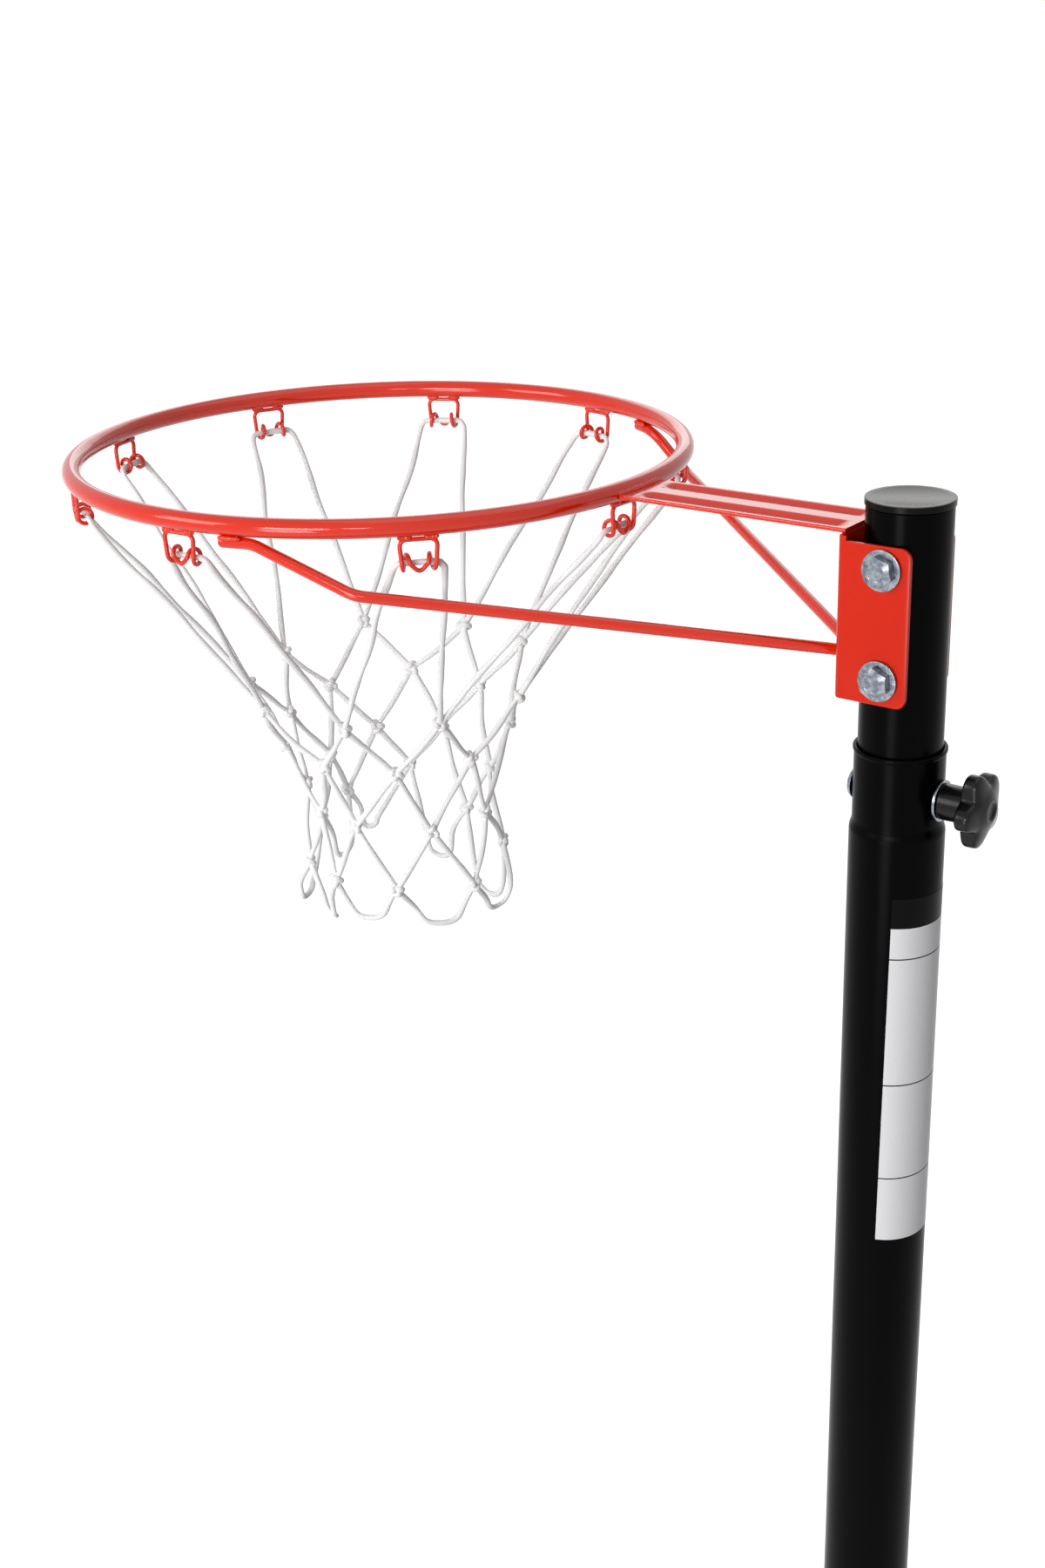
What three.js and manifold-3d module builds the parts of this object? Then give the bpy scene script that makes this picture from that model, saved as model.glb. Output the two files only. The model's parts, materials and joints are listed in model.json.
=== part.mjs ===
// Netball post: a steel goal ring with a knotted net, on a telescopic pole that stands in a
// wheeled ballast tank. Millimetres and degrees, +Z up, origin on the floor under the pole's
// axis. The ring reaches out towards -X and the tank lies under the pole and behind it.
import * as THREE from 'three';
import { mergeVertices } from 'three/addons/utils/BufferGeometryUtils.js';
import Module from 'manifold-3d';

const wasm = await Module();
wasm.setup();

// Fits shared by every piece
const GAP = 0.3;                  // air between pieces that touch
const BOLT_PLAY = 0.4;            // a hole's radius over its bolt's
const OVERRUN = 4;                // how far a cutting tool runs past the piece

// Goal ring and its height
const RING_INSIDE = 380;          // diameter
const RING_ROD = 12;              // diameter of the bar
const RING_TOP_LOW = 2440;        // top of the ring above the floor at its lowest
const RING_REACH = 150;           // from the pole to the near side of the ring
const LIFT = 610;                 // from the lowest height to the highest

// Poles
const UPPER_D = 48.3;
const POLE_WALL = 1.5;
const SLIDE_PLAY = 0.35;          // between the upper pole and the neck
const SWAGE_DEPTH = 1.5;          // how far a neck is drawn in
const SWAGE_PLAY = 0.35;          // between the two lower poles
const RIM_DROP = 126.5;           // from the ring's plane down to the neck's rim
const NECK_LENGTH = 43.5;
const FLARE_LENGTH = 7.5;
const RIM_LIP = 0.7;              // how far the neck's rolled rim stands out
const MIN_INSERT = 150;           // upper pole left in the neck at full height
const END_ROOM = 250;             // from the upper pole's lower end to the spigot below it
const SPIGOT_LENGTH = 110;
const POLE_FOOT = 28;             // floor to the bottom of the bottom pole
const TUBE_SIDES = 28;

// Pole cap
const CAP_ABOVE_RING = 17;        // top of the cap above the ring's plane
const CAP_HEAD = 4;
const CAP_LIP = 0.75;             // the head's overhang past the pole
const CAP_PLUG = 22;
const CAP_WALL = 2;
const CAP_EDGE = 1;

// Ring arm
const ARM_WIDTH = 45;
const ARM_SHEET = 2.5;
const ARM_TOP = 0.2;              // above the ring's plane
const TROUGH_WIDTH = 15;
const TROUGH_DEPTH = 2.6;
const TROUGH_OFFSET = 12.4;       // from the arm's centre line to a trough's
const TROUGH_END = 8;             // length of a trough's run-out
const TROUGH_INSET = 7;           // from the arm's end to the run-out
const TROUGH_SHARES = [-1, -0.7, -0.3, 0, 0.3, 0.7, 1];
const RUNOUT_SHARES = [0, 0.5, 1];

// Pole bracket
const BRACKET_SHEET = 2.5;
const BRACKET_FRONT = 29.8;       // web's face, in front of the pole's axis
const BRACKET_BACK = 14.7;        // ears' edge, behind it
const EAR_TOP = -5;               // from the ring's plane
const EAR_BOTTOM = -95.6;
const EAR_CORNER = 6;
const FOOT_CORNER = 3;
const BEND_RADIUS = 4;
const WEB_TONGUE = 5.5;           // depth of the web's raised strip under the arm

// Ring bolts, through both ears and the pole
const RING_BOLT_D = 10;
const RING_BOLT_HEIGHTS = [-18.1, -80.9];
const RING_BOLT_BACKSET = 1.8;    // in front of the pole's axis
const RING_WASHER_D = 23.2;
const RING_WASHER_SHEET = 2;
const RING_HEX = 16;              // across flats
const RING_HEAD = 6.4;
const RING_NUT = 8;
const RING_BOLT_END = 4;          // thread past the nut

// V brace, one rod under the ring
const BRACE_ROD = 7;
const BRACE_ENDS = [-77.7, 66];   // angles round the ring, from +X
const BRACE_WELD = 21;            // length welded under the ring at each end
const BRACE_KNEE = [123, 171, -34.5];   // from the ring's centre; the other knee mirrors it
const BRACE_POINT_DROP = 76.3;    // the V's point, below the ring's plane
const BRACE_BEND = 24;            // bend radius of the rod's centre line
const BRACE_POINT_BEND = 9;

// Net hooks, a closed loop of wire each
const HOOK_OFFSETS = [1, 0.3, -2.1, -2, -2.7, -1.2, 0.7, 3.2, 1];   // weld errors, degrees
const HOOK_FIRST = -4;
const HOOK_WIRE = 2.5;
const HOOK_WIDTH = 22;
const HOOK_FOOT_WIDTH = 19.8;
const HOOK_CORNER = 4;
const COIL_RADIUS = 4.4;
const COIL_DROP = 22;             // coil's centre, below the ring's plane
const COIL_PITCH = 4.7;
const COIL_STEPS = 7;
const V_DROP = 26;
const VALLEY_SHARES = [[0.5, 0.75], [0, 1]];
const BAR_SPLIT = 0.4;            // where the wire's two ends meet

// Net: four rows of knots and the low points of the loops, from the hook nearest the arm on
const CORD = 3;
const KNOT_ANGLES = [              // degrees round the ring, from +X
  [-31.8, -68, -106.6, -146, -182.1, -218.5, -261.7, -300.3, -346.2],
  [-9.9, -50.3, -84.8, -123.5, -166, -197.9, -238.9, -278.6, -323],
  [-31.9, -73.4, -103.7, -149.8, -187.9, -218.9, -256.9, -302.1, -349.3],
  [-7.9, -52.8, -87.5, -122.9, -172.9, -200.3, -236.1, -275.7, -324.5],
  [-25.1, -71, -99.9, -142.6, -187.7, -210, -258.5, -307.5, -343.2],
];
const KNOT_RADII = [               // from the ring's centre line
  [94.8, 99.9, 100, 96.9, 101.5, 99.8, 96.8, 94.3, 92.4],
  [75.9, 81.9, 81.6, 76.9, 81.1, 85.2, 82, 79.9, 78.1],
  [68.5, 71.4, 64.6, 64.1, 70.7, 73.9, 71, 66.9, 66.2],
  [71.9, 72.5, 72.7, 65.7, 66.3, 75.8, 75.7, 65.4, 70.3],
  [64.7, 65.7, 61.4, 68.7, 65.4, 72.8, 62.7, 63.5, 68.3],
];
const KNOT_DROPS = [               // below the ring's plane
  [156.9, 156.1, 154.7, 158.5, 157, 145.4, 148, 144.4, 158],
  [193.9, 193.1, 191, 191.7, 189.3, 183.7, 176.6, 181.1, 188.8],
  [241.5, 235, 234.5, 232.3, 228.5, 216.6, 214.6, 231.4, 242.8],
  [286.2, 279.4, 276.1, 278.5, 267.4, 261.1, 247.3, 271.8, 275.6],
  [311.3, 303.3, 311.3, 314.8, 305.2, 292.3, 312.6, 326, 316.4],
];
const KNOT_SIZE = 4.1;
const CORD_SEAT_SHARE = 0.25;     // the cord's offset in the coil, inward and down
const CORD_SIDES = 4;
const STRAND_SAG = 2;
const STRAND_STEPS = 2;
const LOOP_STEPS = 8;

// Clamp knob and its bolt, along X
const CLAMP_DROP = 155;           // below the ring's plane
const CLAMP_BOLT_D = 8;
const CLAMP_DOME_D = 19;
const CLAMP_DOME = 4.6;
const CLAMP_WASHER_D = 24;
const CLAMP_WASHER_SHEET = 1.6;
const KNOB_SHANK_D = 21;
const KNOB_SHANK = 11.5;
const KNOB_D = 45;
const KNOB_HEAD = 20;
const KNOB_LOBES = 5;
const KNOB_LOBE_DEPTH = 6.5;
const KNOB_TURN = 51;             // degrees of the first lobe from straight up
const KNOB_PROFILE_SHARES = [
  [0.72, 0], [0.93, 0.13], [1, 0.3], [0.99, 0.58], [0.9, 0.8], [0.66, 0.94], [0.36, 1],
];
const KNOB_THREAD = 17;           // bolt inside the knob

// Ballast tank
const TANK_LENGTH = 760;
const TANK_WIDTH = 520;
const TANK_HEIGHT = 150;
const TANK_FRONT = 112;           // in front of the pole's axis
const TANK_CORNER = 70;
const TANK_DRAFT = 22;            // how far the sides lean in
const TANK_EDGE = 12;             // height of the rounded top edge
const FOOT_CHAMFER = 5;
const COLLAR_D = 96;
const COLLAR_HEIGHT = 26;
const COLLAR_DRAFT = 5;
const RIB_COUNT = 3;
const RIB_LENGTH = 150;
const RIB_WIDTH = 26;
const RIB_DEPTH = 7;
const RIB_SPACING = 75;
const RIB_START = 125;            // behind the pole's axis
const GRIP_WIDTH = 120;
const GRIP_DEPTH = 26;
const GRIP_HEIGHT = 34;

// Filler neck, cap and seal
const FILLER_INSET = 193;         // from the tank's back edge
const FILLER_BORE = 34;
const FILLER_D = 46;
const FILLER_NECK = 14;
const FILLER_WELL = 60;
const FILLER_CAP_D = 60;
const FILLER_CAP_WALL = 3;
const FILLER_PLAY = 0.5;
const SEAL_SHEET = 2;
const FILLER_RIBS = 12;
const FILLER_RIB_DEPTH = 1.4;

// Wheels and axle
const WHEEL_D = 100;
const WHEEL_WIDTH = 28;
const WHEEL_LIFT = 8;             // clear of the floor until the post is tipped
const WHEEL_BACK = 58;            // axle, in front of the pole's axis
const WHEEL_ROOM = 8;             // pocket round the wheel
const AXLE_D = 12;
const HUB_D = 34;
const HUB_OUT = 3;
const TYRE_EDGE = 3.5;
const TYRE_WALL = 9;              // from the tread to the recessed disc
const WHEEL_CHAMFER = 1.5;
const DISC_SHEET = 8;
const AXLE_CAP_D = 24;
const AXLE_CAP = 7;
const AXLE_CAP_WALL = 1.5;

// Struts and their bolts
const STRUT_TOP = 640;            // bolt above the floor
const STRUT_D = 20;
const STRUT_FLAT = 4;             // thickness of the flattened ends
const STRUT_FLAT_WIDTH = 27;
const STRUT_FLAT_LENGTH = 17;     // from the bolt to the end and to the bend
const STRUT_TAPER = 26;
const STRUT_INSET = 88;           // foot, from the tank's back edge
const STRUT_SPREAD = 165;         // foot, from the centre line
const STRUT_BOLT_D = 8;
const STRUT_HEX = 13;
const STRUT_HEAD = 5.3;
const STRUT_NUT = 6.5;
const STRUT_WASHER_D = 18;
const STRUT_WASHER_SHEET = 1.6;
const STRUT_BOLT_END = 3;
const FOOT_THREAD = 26;           // bolt in the tank
const FOOT_HOLE = 30;
const END_SHARE = 0.6;            // of a flat end's length and width, where its corners start
const PAD_D = 44;
const PAD_HEIGHT = 3;

// Screw that locks the two lower poles, and the bottom pole's end plug
const LOCK_RISE = 42;             // above the joint
const LOCK_D = 5.5;
const LOCK_LENGTH = 11;
const LOCK_HEAD_D = 11;
const LOCK_HEAD = 3.2;
const PLUG_FLANGE = 3;
const PLUG_DEPTH = 16;

// Worked out from the sizes above
const UPPER_R = UPPER_D / 2;
const NECK_R = UPPER_R + SLIDE_PLAY + POLE_WALL;
const POLE_R = NECK_R + SWAGE_DEPTH;
const POLE_BORE = POLE_R - POLE_WALL;
const SPIGOT_R = POLE_BORE - SWAGE_PLAY;
const ROD_R = RING_ROD / 2;
const RING_R = RING_INSIDE / 2 + ROD_R;
const RING_OUT = RING_R + ROD_R;
const RING_X = -(UPPER_R + RING_REACH + RING_OUT);
const RING_Z = RING_TOP_LOW - ROD_R;
const RIM_Z = RING_Z - RIM_DROP;
const CLAMP_Z = RING_Z - CLAMP_DROP;
const UPPER_TOP = CAP_ABOVE_RING - CAP_HEAD - GAP;
const UPPER_END = RIM_Z - MIN_INSERT - LIFT;
const JOINT_Z = UPPER_END - END_ROOM - SPIGOT_LENGTH;
const EAR_OUT = UPPER_R + GAP + BRACKET_SHEET;
const AXLE_Z = WHEEL_D / 2 + WHEEL_LIFT;
const TANK_BACK = TANK_LENGTH - TANK_FRONT;
const FILLER_BACK = TANK_BACK - FILLER_INSET;
const STRUT_BACK = TANK_BACK - STRUT_INSET;
const CLAMP_R = CLAMP_BOLT_D / 2;
const KNOB_START = NECK_R + GAP + CLAMP_WASHER_SHEET + GAP;
const KNOT_ROWS = KNOT_DROPS.length - 1;
const rad = THREE.MathUtils.degToRad;

// Colour, roughness and metalness of each finish
const FINISHES = {
  redPaint: [0xdc2f22, 0.3, 0.0],
  blackPaint: [0x101012, 0.32, 0.1],
  blackPlastic: [0x17171a, 0.5, 0.0],
  capPlastic: [0x2a2926, 0.45, 0.0],
  zinc: [0xb9c0c8, 0.3, 0.9],
  netCord: [0xe9e9e6, 0.8, 0.0],
  tankPlastic: [0x1b1c1f, 0.6, 0.0],
  tyrePlastic: [0x0f0f10, 0.75, 0.0],
  rubber: [0x232323, 0.9, 0.0],
};

function finish(name) {
  const [color, roughness, metalness] = FINISHES[name];
  return new THREE.MeshStandardMaterial({ color, roughness, metalness });
}

// Drops normals and texture places, merges shared corners and turns every face outward.
function closed(geometry) {
  const bare = geometry.clone();
  for (const name of Object.keys(bare.attributes)) {
    if (name !== 'position') bare.deleteAttribute(name);
  }
  const merged = mergeVertices(bare);
  const at = merged.attributes.position;
  const [a, b, c] = [new THREE.Vector3(), new THREE.Vector3(), new THREE.Vector3()];
  const faces = [];
  let volume = 0;
  for (let i = 0; i < merged.index.count; i += 3) {
    const [p, q, r] = [0, 1, 2].map((k) => merged.index.getX(i + k));
    if (p === q || q === r || r === p) continue;
    faces.push([p, q, r]);
    b.fromBufferAttribute(at, q).cross(c.fromBufferAttribute(at, r));
    volume += a.fromBufferAttribute(at, p).dot(b);
  }
  merged.setIndex(faces.flatMap(([p, q, r]) => (volume < 0 ? [p, r, q] : [p, q, r])));
  return merged;
}

function toSolid(geometry) {
  const { attributes, index } = closed(geometry);
  return new wasm.Manifold(new wasm.Mesh({
    numProp: 3,
    vertProperties: new Float32Array(attributes.position.array),
    triVerts: new Uint32Array(index.array),
  }));
}

function toGeometry(solid) {
  const { vertProperties, triVerts } = solid.getMesh();
  const geometry = new THREE.BufferGeometry();
  geometry.setAttribute('position', new THREE.BufferAttribute(vertProperties, 3));
  geometry.setIndex(new THREE.BufferAttribute(triVerts, 1));
  return geometry;
}

// The first shape less all the others.
function cut(geometry, ...tools) {
  return toGeometry(tools.reduce((solid, tool) => solid.subtract(toSolid(tool)), toSolid(geometry)));
}

function join(...geometries) {
  return toGeometry(geometries.map(toSolid).reduce((all, one) => all.add(one)));
}

function common(a, b) {
  return toGeometry(toSolid(a).intersect(toSolid(b)));
}

// A profile of [radius, height] turned about Z.
function turned(profile, sides) {
  const points = profile.map(([r, z]) => new THREE.Vector2(r, z));
  return new THREE.LatheGeometry(points, sides).rotateX(Math.PI / 2);
}

// A round bar about Z from one height to another.
function bar(radius, from, to, sides) {
  return turned([[0, from], [radius, from], [radius, to], [0, to]], sides);
}

function ring(inner, outer, from, to, sides) {
  return turned([[inner, from], [outer, from], [outer, to], [inner, to], [inner, from]], sides);
}

// Turns a shape made along Z to lie along Y or X, with its top end towards +.
function alongY(geometry) {
  return geometry.rotateX(-Math.PI / 2);
}

function alongX(geometry) {
  return geometry.rotateY(Math.PI / 2);
}

function block(x0, x1, y0, y1, z0, z1) {
  return new THREE.BoxGeometry(x1 - x0, y1 - y0, z1 - z0)
    .translate((x0 + x1) / 2, (y0 + y1) / 2, (z0 + z1) / 2);
}

// A flat outline of [x, y] points drawn up along Z.
function prism(outline, from, to) {
  const shape = new THREE.Shape(outline.map(([x, y]) => new THREE.Vector2(x, y)));
  return new THREE.ExtrudeGeometry(shape, { depth: to - from, bevelEnabled: false }).translate(0, 0, from);
}

// Points of an arc about [x, y], both ends included.
function arc(x, y, radius, fromDegrees, toDegrees, steps) {
  return Array.from({ length: steps + 1 }, (_, i) => {
    const angle = rad(THREE.MathUtils.lerp(fromDegrees, toDegrees, i / steps));
    return [x + radius * Math.cos(angle), y + radius * Math.sin(angle)];
  });
}

function polygon(radius, sides, turn = 0) {
  return Array.from({ length: sides }, (_, i) => {
    const angle = turn + (i * 2 * Math.PI) / sides;
    return [radius * Math.cos(angle), radius * Math.sin(angle)];
  });
}

// A route whose steps fall exactly on its own points.
class Route extends THREE.Curve {
  constructor(points) {
    super();
    this.points = points;
  }

  getPoint(share, target = new THREE.Vector3()) {
    const last = this.points.length - 1;
    const from = Math.min(Math.floor(share * last), last - 1);
    return target.lerpVectors(this.points[from], this.points[from + 1], share * last - from);
  }

  getPointAt(share, target) {
    return this.getPoint(share, target);
  }

  getTangentAt(share, target = new THREE.Vector3()) {
    const last = this.points.length - 1;
    const here = Math.round(share * last);
    const before = this.points[Math.max(here - 1, 0)];
    const after = this.points[Math.min(here + 1, last)];
    return target.subVectors(after, before).normalize();
  }
}

// A round bar along a list of points.
function swept(points, radius, sides) {
  const shape = new THREE.Shape(polygon(radius, sides).map(([x, y]) => new THREE.Vector2(x, y)));
  return new THREE.ExtrudeGeometry(shape, { steps: points.length - 1, extrudePath: new Route(points) });
}

// Rounds the corners of a route: each bend is an arc of its own radius, in a few steps.
function rounded(corners, radii, steps) {
  const points = [corners[0].clone()];
  for (let i = 1; i < corners.length - 1; i += 1) {
    const back = corners[i - 1].clone().sub(corners[i]).normalize();
    const on = corners[i + 1].clone().sub(corners[i]).normalize();
    const half = back.angleTo(on) / 2;
    const inward = back.clone().add(on).normalize();
    const centre = corners[i].clone().addScaledVector(inward, radii[i - 1] / Math.sin(half));
    const start = corners[i].clone().addScaledVector(back, radii[i - 1] / Math.tan(half)).sub(centre);
    const end = corners[i].clone().addScaledVector(on, radii[i - 1] / Math.tan(half)).sub(centre);
    const sweep = start.angleTo(end);
    const axis = start.clone().cross(end).normalize();
    for (let k = 0; k <= steps; k += 1) {
      points.push(start.clone().applyAxisAngle(axis, (sweep * k) / steps).add(centre));
    }
  }
  points.push(corners[corners.length - 1].clone());
  return points;
}

// A skin over rings of points, each with the same number, closed at both ends.
function loft(rings) {
  const count = rings[0].length;
  const points = rings.flat();
  const faces = [];
  for (let level = 0; level < rings.length - 1; level += 1) {
    for (let i = 0; i < count; i += 1) {
      const [a, b] = [level * count + i, level * count + ((i + 1) % count)];
      faces.push(a, b, b + count, a, b + count, a + count);
    }
  }
  for (const [level, flip] of [[0, true], [rings.length - 1, false]]) {
    const middle = points.length;
    points.push(rings[level].reduce((sum, p) => sum.add(p), new THREE.Vector3()).divideScalar(count));
    for (let i = 0; i < count; i += 1) {
      const [a, b] = [level * count + i, level * count + ((i + 1) % count)];
      faces.push(...(flip ? [middle, b, a] : [middle, a, b]));
    }
  }
  const geometry = new THREE.BufferGeometry();
  geometry.setAttribute('position', new THREE.Float32BufferAttribute(points.flatMap((p) => p.toArray()), 3));
  geometry.setIndex(faces);
  return geometry;
}

// A point by angle round the ring's centre, radius and height from the ring's plane.
function roundRing(degrees, radius, height) {
  const angle = rad(degrees);
  return new THREE.Vector3(RING_X + radius * Math.cos(angle), radius * Math.sin(angle), height);
}

const part = new THREE.Group();
const head = new THREE.Group();
head.position.z = RING_Z;
part.add(head);

function add(parent, name, geometry, finishName) {
  const mesh = new THREE.Mesh(closed(geometry), finish(finishName));
  mesh.name = name;
  parent.add(mesh);
  return mesh;
}

// Goal ring

function goalRing() {
  const round = polygon(ROD_R, 12).map(([x, z]) => [RING_R + x, z]);
  return turned([...round, round[0]], 60).translate(RING_X, 0, 0);
}

// Ring arm: pressed strip with two troughs, hollowed to the ring at one end

function runOut(fromEnd) {
  const share = THREE.MathUtils.clamp((fromEnd - TROUGH_INSET) / TROUGH_END, 0, 1);
  return share * share * (3 - 2 * share);
}

function armSurface(x, start, end, y, level) {
  const across = Math.min(Math.abs(Math.abs(y) - TROUGH_OFFSET) / (TROUGH_WIDTH / 2), 1);
  const dip = TROUGH_DEPTH * (1 - across * across) ** 2;
  const fade = Math.min(runOut(x - start), runOut(end - x));
  return new THREE.Vector3(x, y, level - dip * fade);
}

function ringArm() {
  const end = -(BRACKET_FRONT - BRACKET_SHEET);
  const halfWidth = ARM_WIDTH / 2;
  const trough = TROUGH_SHARES.map((share) => TROUGH_OFFSET + (share * TROUGH_WIDTH) / 2);
  const right = [...trough, halfWidth];
  const across = [...right.map((y) => -y).reverse(), 0, ...right];
  const near = RUNOUT_SHARES.map((share) => TROUGH_INSET + share * TROUGH_END);
  const rows = across.map((y) => {
    const start = RING_X + Math.sqrt((RING_OUT + GAP) ** 2 - y * y);
    return [start, ...near.map((d) => start + d), ...near.map((d) => end - d).reverse(), end]
      .map((x) => [x, start, y]);
  });
  const face = (level) => rows.map((row) => (
    row.map(([x, start, y]) => armSurface(x, start, end, y, level))));
  const [top, under] = [face(ARM_TOP), face(ARM_TOP - ARM_SHEET)];
  return loft(top.map((line, i) => [...line, ...under[i].slice().reverse()]));
}

// V brace: one rod, welded under the ring at both ends, with its point at the bracket's web

function braceSide(angle, side) {
  const under = -(ROD_R + BRACE_ROD / 2 + GAP);
  const turn = THREE.MathUtils.radToDeg(BRACE_WELD / RING_R);
  const [x, y, z] = BRACE_KNEE;
  return [
    roundRing(angle, RING_R, under),
    roundRing(angle - side * turn, RING_R, under),
    new THREE.Vector3(RING_X + x, side * y, z),
  ];
}

function vBrace() {
  const point = new THREE.Vector3(-(BRACKET_FRONT + GAP + BRACE_ROD / 2), 0, -BRACE_POINT_DROP);
  const corners = [
    ...braceSide(BRACE_ENDS[0], -1), point, ...braceSide(BRACE_ENDS[1], 1).reverse(),
  ];
  const half = Math.atan2(BRACE_KNEE[1], point.x - RING_X - BRACE_KNEE[0]);
  corners[3].x += BRACE_POINT_BEND * (1 / Math.sin(half) - 1);
  const radii = [BRACE_BEND, BRACE_BEND, BRACE_POINT_BEND, BRACE_BEND, BRACE_BEND];
  return swept(rounded(corners, radii, 4), BRACE_ROD / 2, 8);
}

// Pole bracket: a U of sheet steel, its ears cut to rounded corners

function bracketHole(height) {
  const reach = EAR_OUT + OVERRUN;
  const across = alongY(bar(RING_BOLT_D / 2 + BOLT_PLAY, -reach, reach, 12));
  return across.translate(-RING_BOLT_BACKSET, 0, height);
}

function poleBracket() {
  const [front, back, inner] = [-BRACKET_FRONT, BRACKET_BACK, EAR_OUT - BRACKET_SHEET];
  const inBend = BEND_RADIUS - BRACKET_SHEET;
  const plan = [
    [back, -EAR_OUT], [back, -inner],
    ...arc(front + BEND_RADIUS, -EAR_OUT + BEND_RADIUS, inBend, 270, 180, 2),
    ...arc(front + BEND_RADIUS, EAR_OUT - BEND_RADIUS, inBend, 180, 90, 2),
    [back, inner], [back, EAR_OUT],
    ...arc(front + BEND_RADIUS, EAR_OUT - BEND_RADIUS, BEND_RADIUS, 90, 180, 4),
    ...arc(front + BEND_RADIUS, -EAR_OUT + BEND_RADIUS, BEND_RADIUS, 180, 270, 4),
  ];
  const tongue = ARM_TOP - ARM_SHEET - GAP;
  const side = [
    ...arc(front + FOOT_CORNER, EAR_BOTTOM + FOOT_CORNER, FOOT_CORNER, 180, 270, 3),
    ...arc(back - EAR_CORNER, EAR_BOTTOM + EAR_CORNER, EAR_CORNER, 270, 360, 4),
    ...arc(back - EAR_CORNER, EAR_TOP - EAR_CORNER, EAR_CORNER, 0, 90, 4),
    [front + WEB_TONGUE, EAR_TOP], [front + WEB_TONGUE, tongue], [front, tongue],
  ];
  const folded = prism(plan, EAR_BOTTOM - OVERRUN, tongue + OVERRUN);
  const reach = EAR_OUT + OVERRUN;
  const outline = prism(side, -reach, reach).rotateX(Math.PI / 2);
  return cut(common(folded, outline), ...RING_BOLT_HEIGHTS.map(bracketHole));
}

// Hex bolts, nuts and washers

function hexagon(acrossFlats, from, to) {
  return prism(polygon(acrossFlats / Math.sqrt(3), 6, Math.PI / 6), from, to);
}

// A hexagon with its corners chamfered on the free side, at the upper height.
function hexHead(acrossFlats, height) {
  const corner = acrossFlats / Math.sqrt(3);
  const flat = acrossFlats / 2;
  const drop = (corner - flat) * 0.6;
  const dome = turned([[0, -height], [corner + drop, -height], [corner + drop, height - 2 * drop],
    [flat * 0.95, height], [0, height]], 18);
  return common(hexagon(acrossFlats, 0, height), dome);
}

// A bolt along Z: the head above zero, the shank below it.
function hexBolt(diameter, acrossFlats, headHeight, length) {
  return join(hexHead(acrossFlats, headHeight), bar(diameter / 2, -length, headHeight / 2, 12));
}

function hexNut(diameter, acrossFlats, height) {
  const bore = bar(diameter / 2 + GAP, -OVERRUN, height + OVERRUN, 12);
  return cut(hexHead(acrossFlats, height), bore);
}

function ringBolts() {
  const washerFace = EAR_OUT + GAP + RING_WASHER_SHEET;
  const length = 2 * washerFace + 2 * GAP + RING_NUT + RING_BOLT_END;
  const hole = RING_BOLT_D / 2 + BOLT_PLAY;
  const washer = () => alongY(ring(hole, RING_WASHER_D / 2, 0, RING_WASHER_SHEET, 16));
  RING_BOLT_HEIGHTS.forEach((height, i) => {
    const label = ['upper', 'lower'][i];
    const put = (mesh, y) => mesh.position.set(-RING_BOLT_BACKSET, y, height);
    const bolt = hexBolt(RING_BOLT_D, RING_HEX, RING_HEAD, length);
    const mesh = add(head, `ring_bolt_${label}`, bolt.rotateX(Math.PI / 2), 'zinc');
    put(mesh, -(washerFace + GAP));
    put(add(head, `ring_washer_near_${label}`, washer(), 'zinc'), -washerFace);
    put(add(head, `ring_washer_far_${label}`, washer(), 'zinc'), EAR_OUT + GAP);
    const nut = alongY(hexNut(RING_BOLT_D, RING_HEX, RING_NUT));
    put(add(head, `ring_nut_${label}`, nut, 'zinc'), washerFace + GAP);
  });
}

// Net hook: bar, leg, coil, V, coil, leg, in a frame of across, radius and height

function hookRoute() {
  const [halfTop, halfFoot] = [HOOK_WIDTH / 2, HOOK_FOOT_WIDTH / 2];
  const barHeight = -(ROD_R + HOOK_WIRE / 2 + GAP);
  const leg = RING_R;
  const coilCentre = leg - COIL_RADIUS;
  const corner = rounded([
    new THREE.Vector3(BAR_SPLIT / 2, leg, barHeight),
    new THREE.Vector3(halfTop, leg, barHeight),
    new THREE.Vector3(halfFoot, leg, -COIL_DROP),
  ], [HOOK_CORNER], 2);
  const coil = Array.from({ length: COIL_STEPS }, (_, i) => {
    const turn = ((i + 1) * 2 * Math.PI) / COIL_STEPS;
    return new THREE.Vector3(halfFoot - (COIL_PITCH * (i + 1)) / COIL_STEPS,
      coilCentre + COIL_RADIUS * Math.cos(turn), -COIL_DROP - COIL_RADIUS * Math.sin(turn));
  });
  const foot = halfFoot - COIL_PITCH;
  const deep = V_DROP - COIL_DROP;
  const valley = VALLEY_SHARES.map(([share, drop]) => (
    new THREE.Vector3(foot * share, leg, -COIL_DROP - deep * drop)));
  const half = [...corner, ...coil, ...valley];
  const mirrored = half.slice(0, -1).reverse().map((p) => new THREE.Vector3(-p.x, p.y, p.z));
  return [...half, ...mirrored];
}

// Places an [across, radius, height] point of a hook round the ring.
function atHook(point, degrees) {
  const angle = rad(degrees);
  const out = new THREE.Vector3(Math.cos(angle), Math.sin(angle), 0);
  const across = new THREE.Vector3(-Math.sin(angle), Math.cos(angle), 0);
  return new THREE.Vector3(RING_X, 0, point.z)
    .addScaledVector(out, point.y)
    .addScaledVector(across, point.x);
}

const HOOK_ANGLES = HOOK_OFFSETS.map((offset, i) => (
  HOOK_FIRST - (i * 360) / HOOK_OFFSETS.length + offset));

function netHooks() {
  HOOK_ANGLES.forEach((degrees, i) => {
    const route = hookRoute().map((p) => atHook(p, degrees));
    add(head, `net_hook_${i + 1}`, swept(route, HOOK_WIRE / 2, 5), 'redPaint');
  });
}

// Net: a knot's place by row and column; the fifth row is the loops' low points

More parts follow.
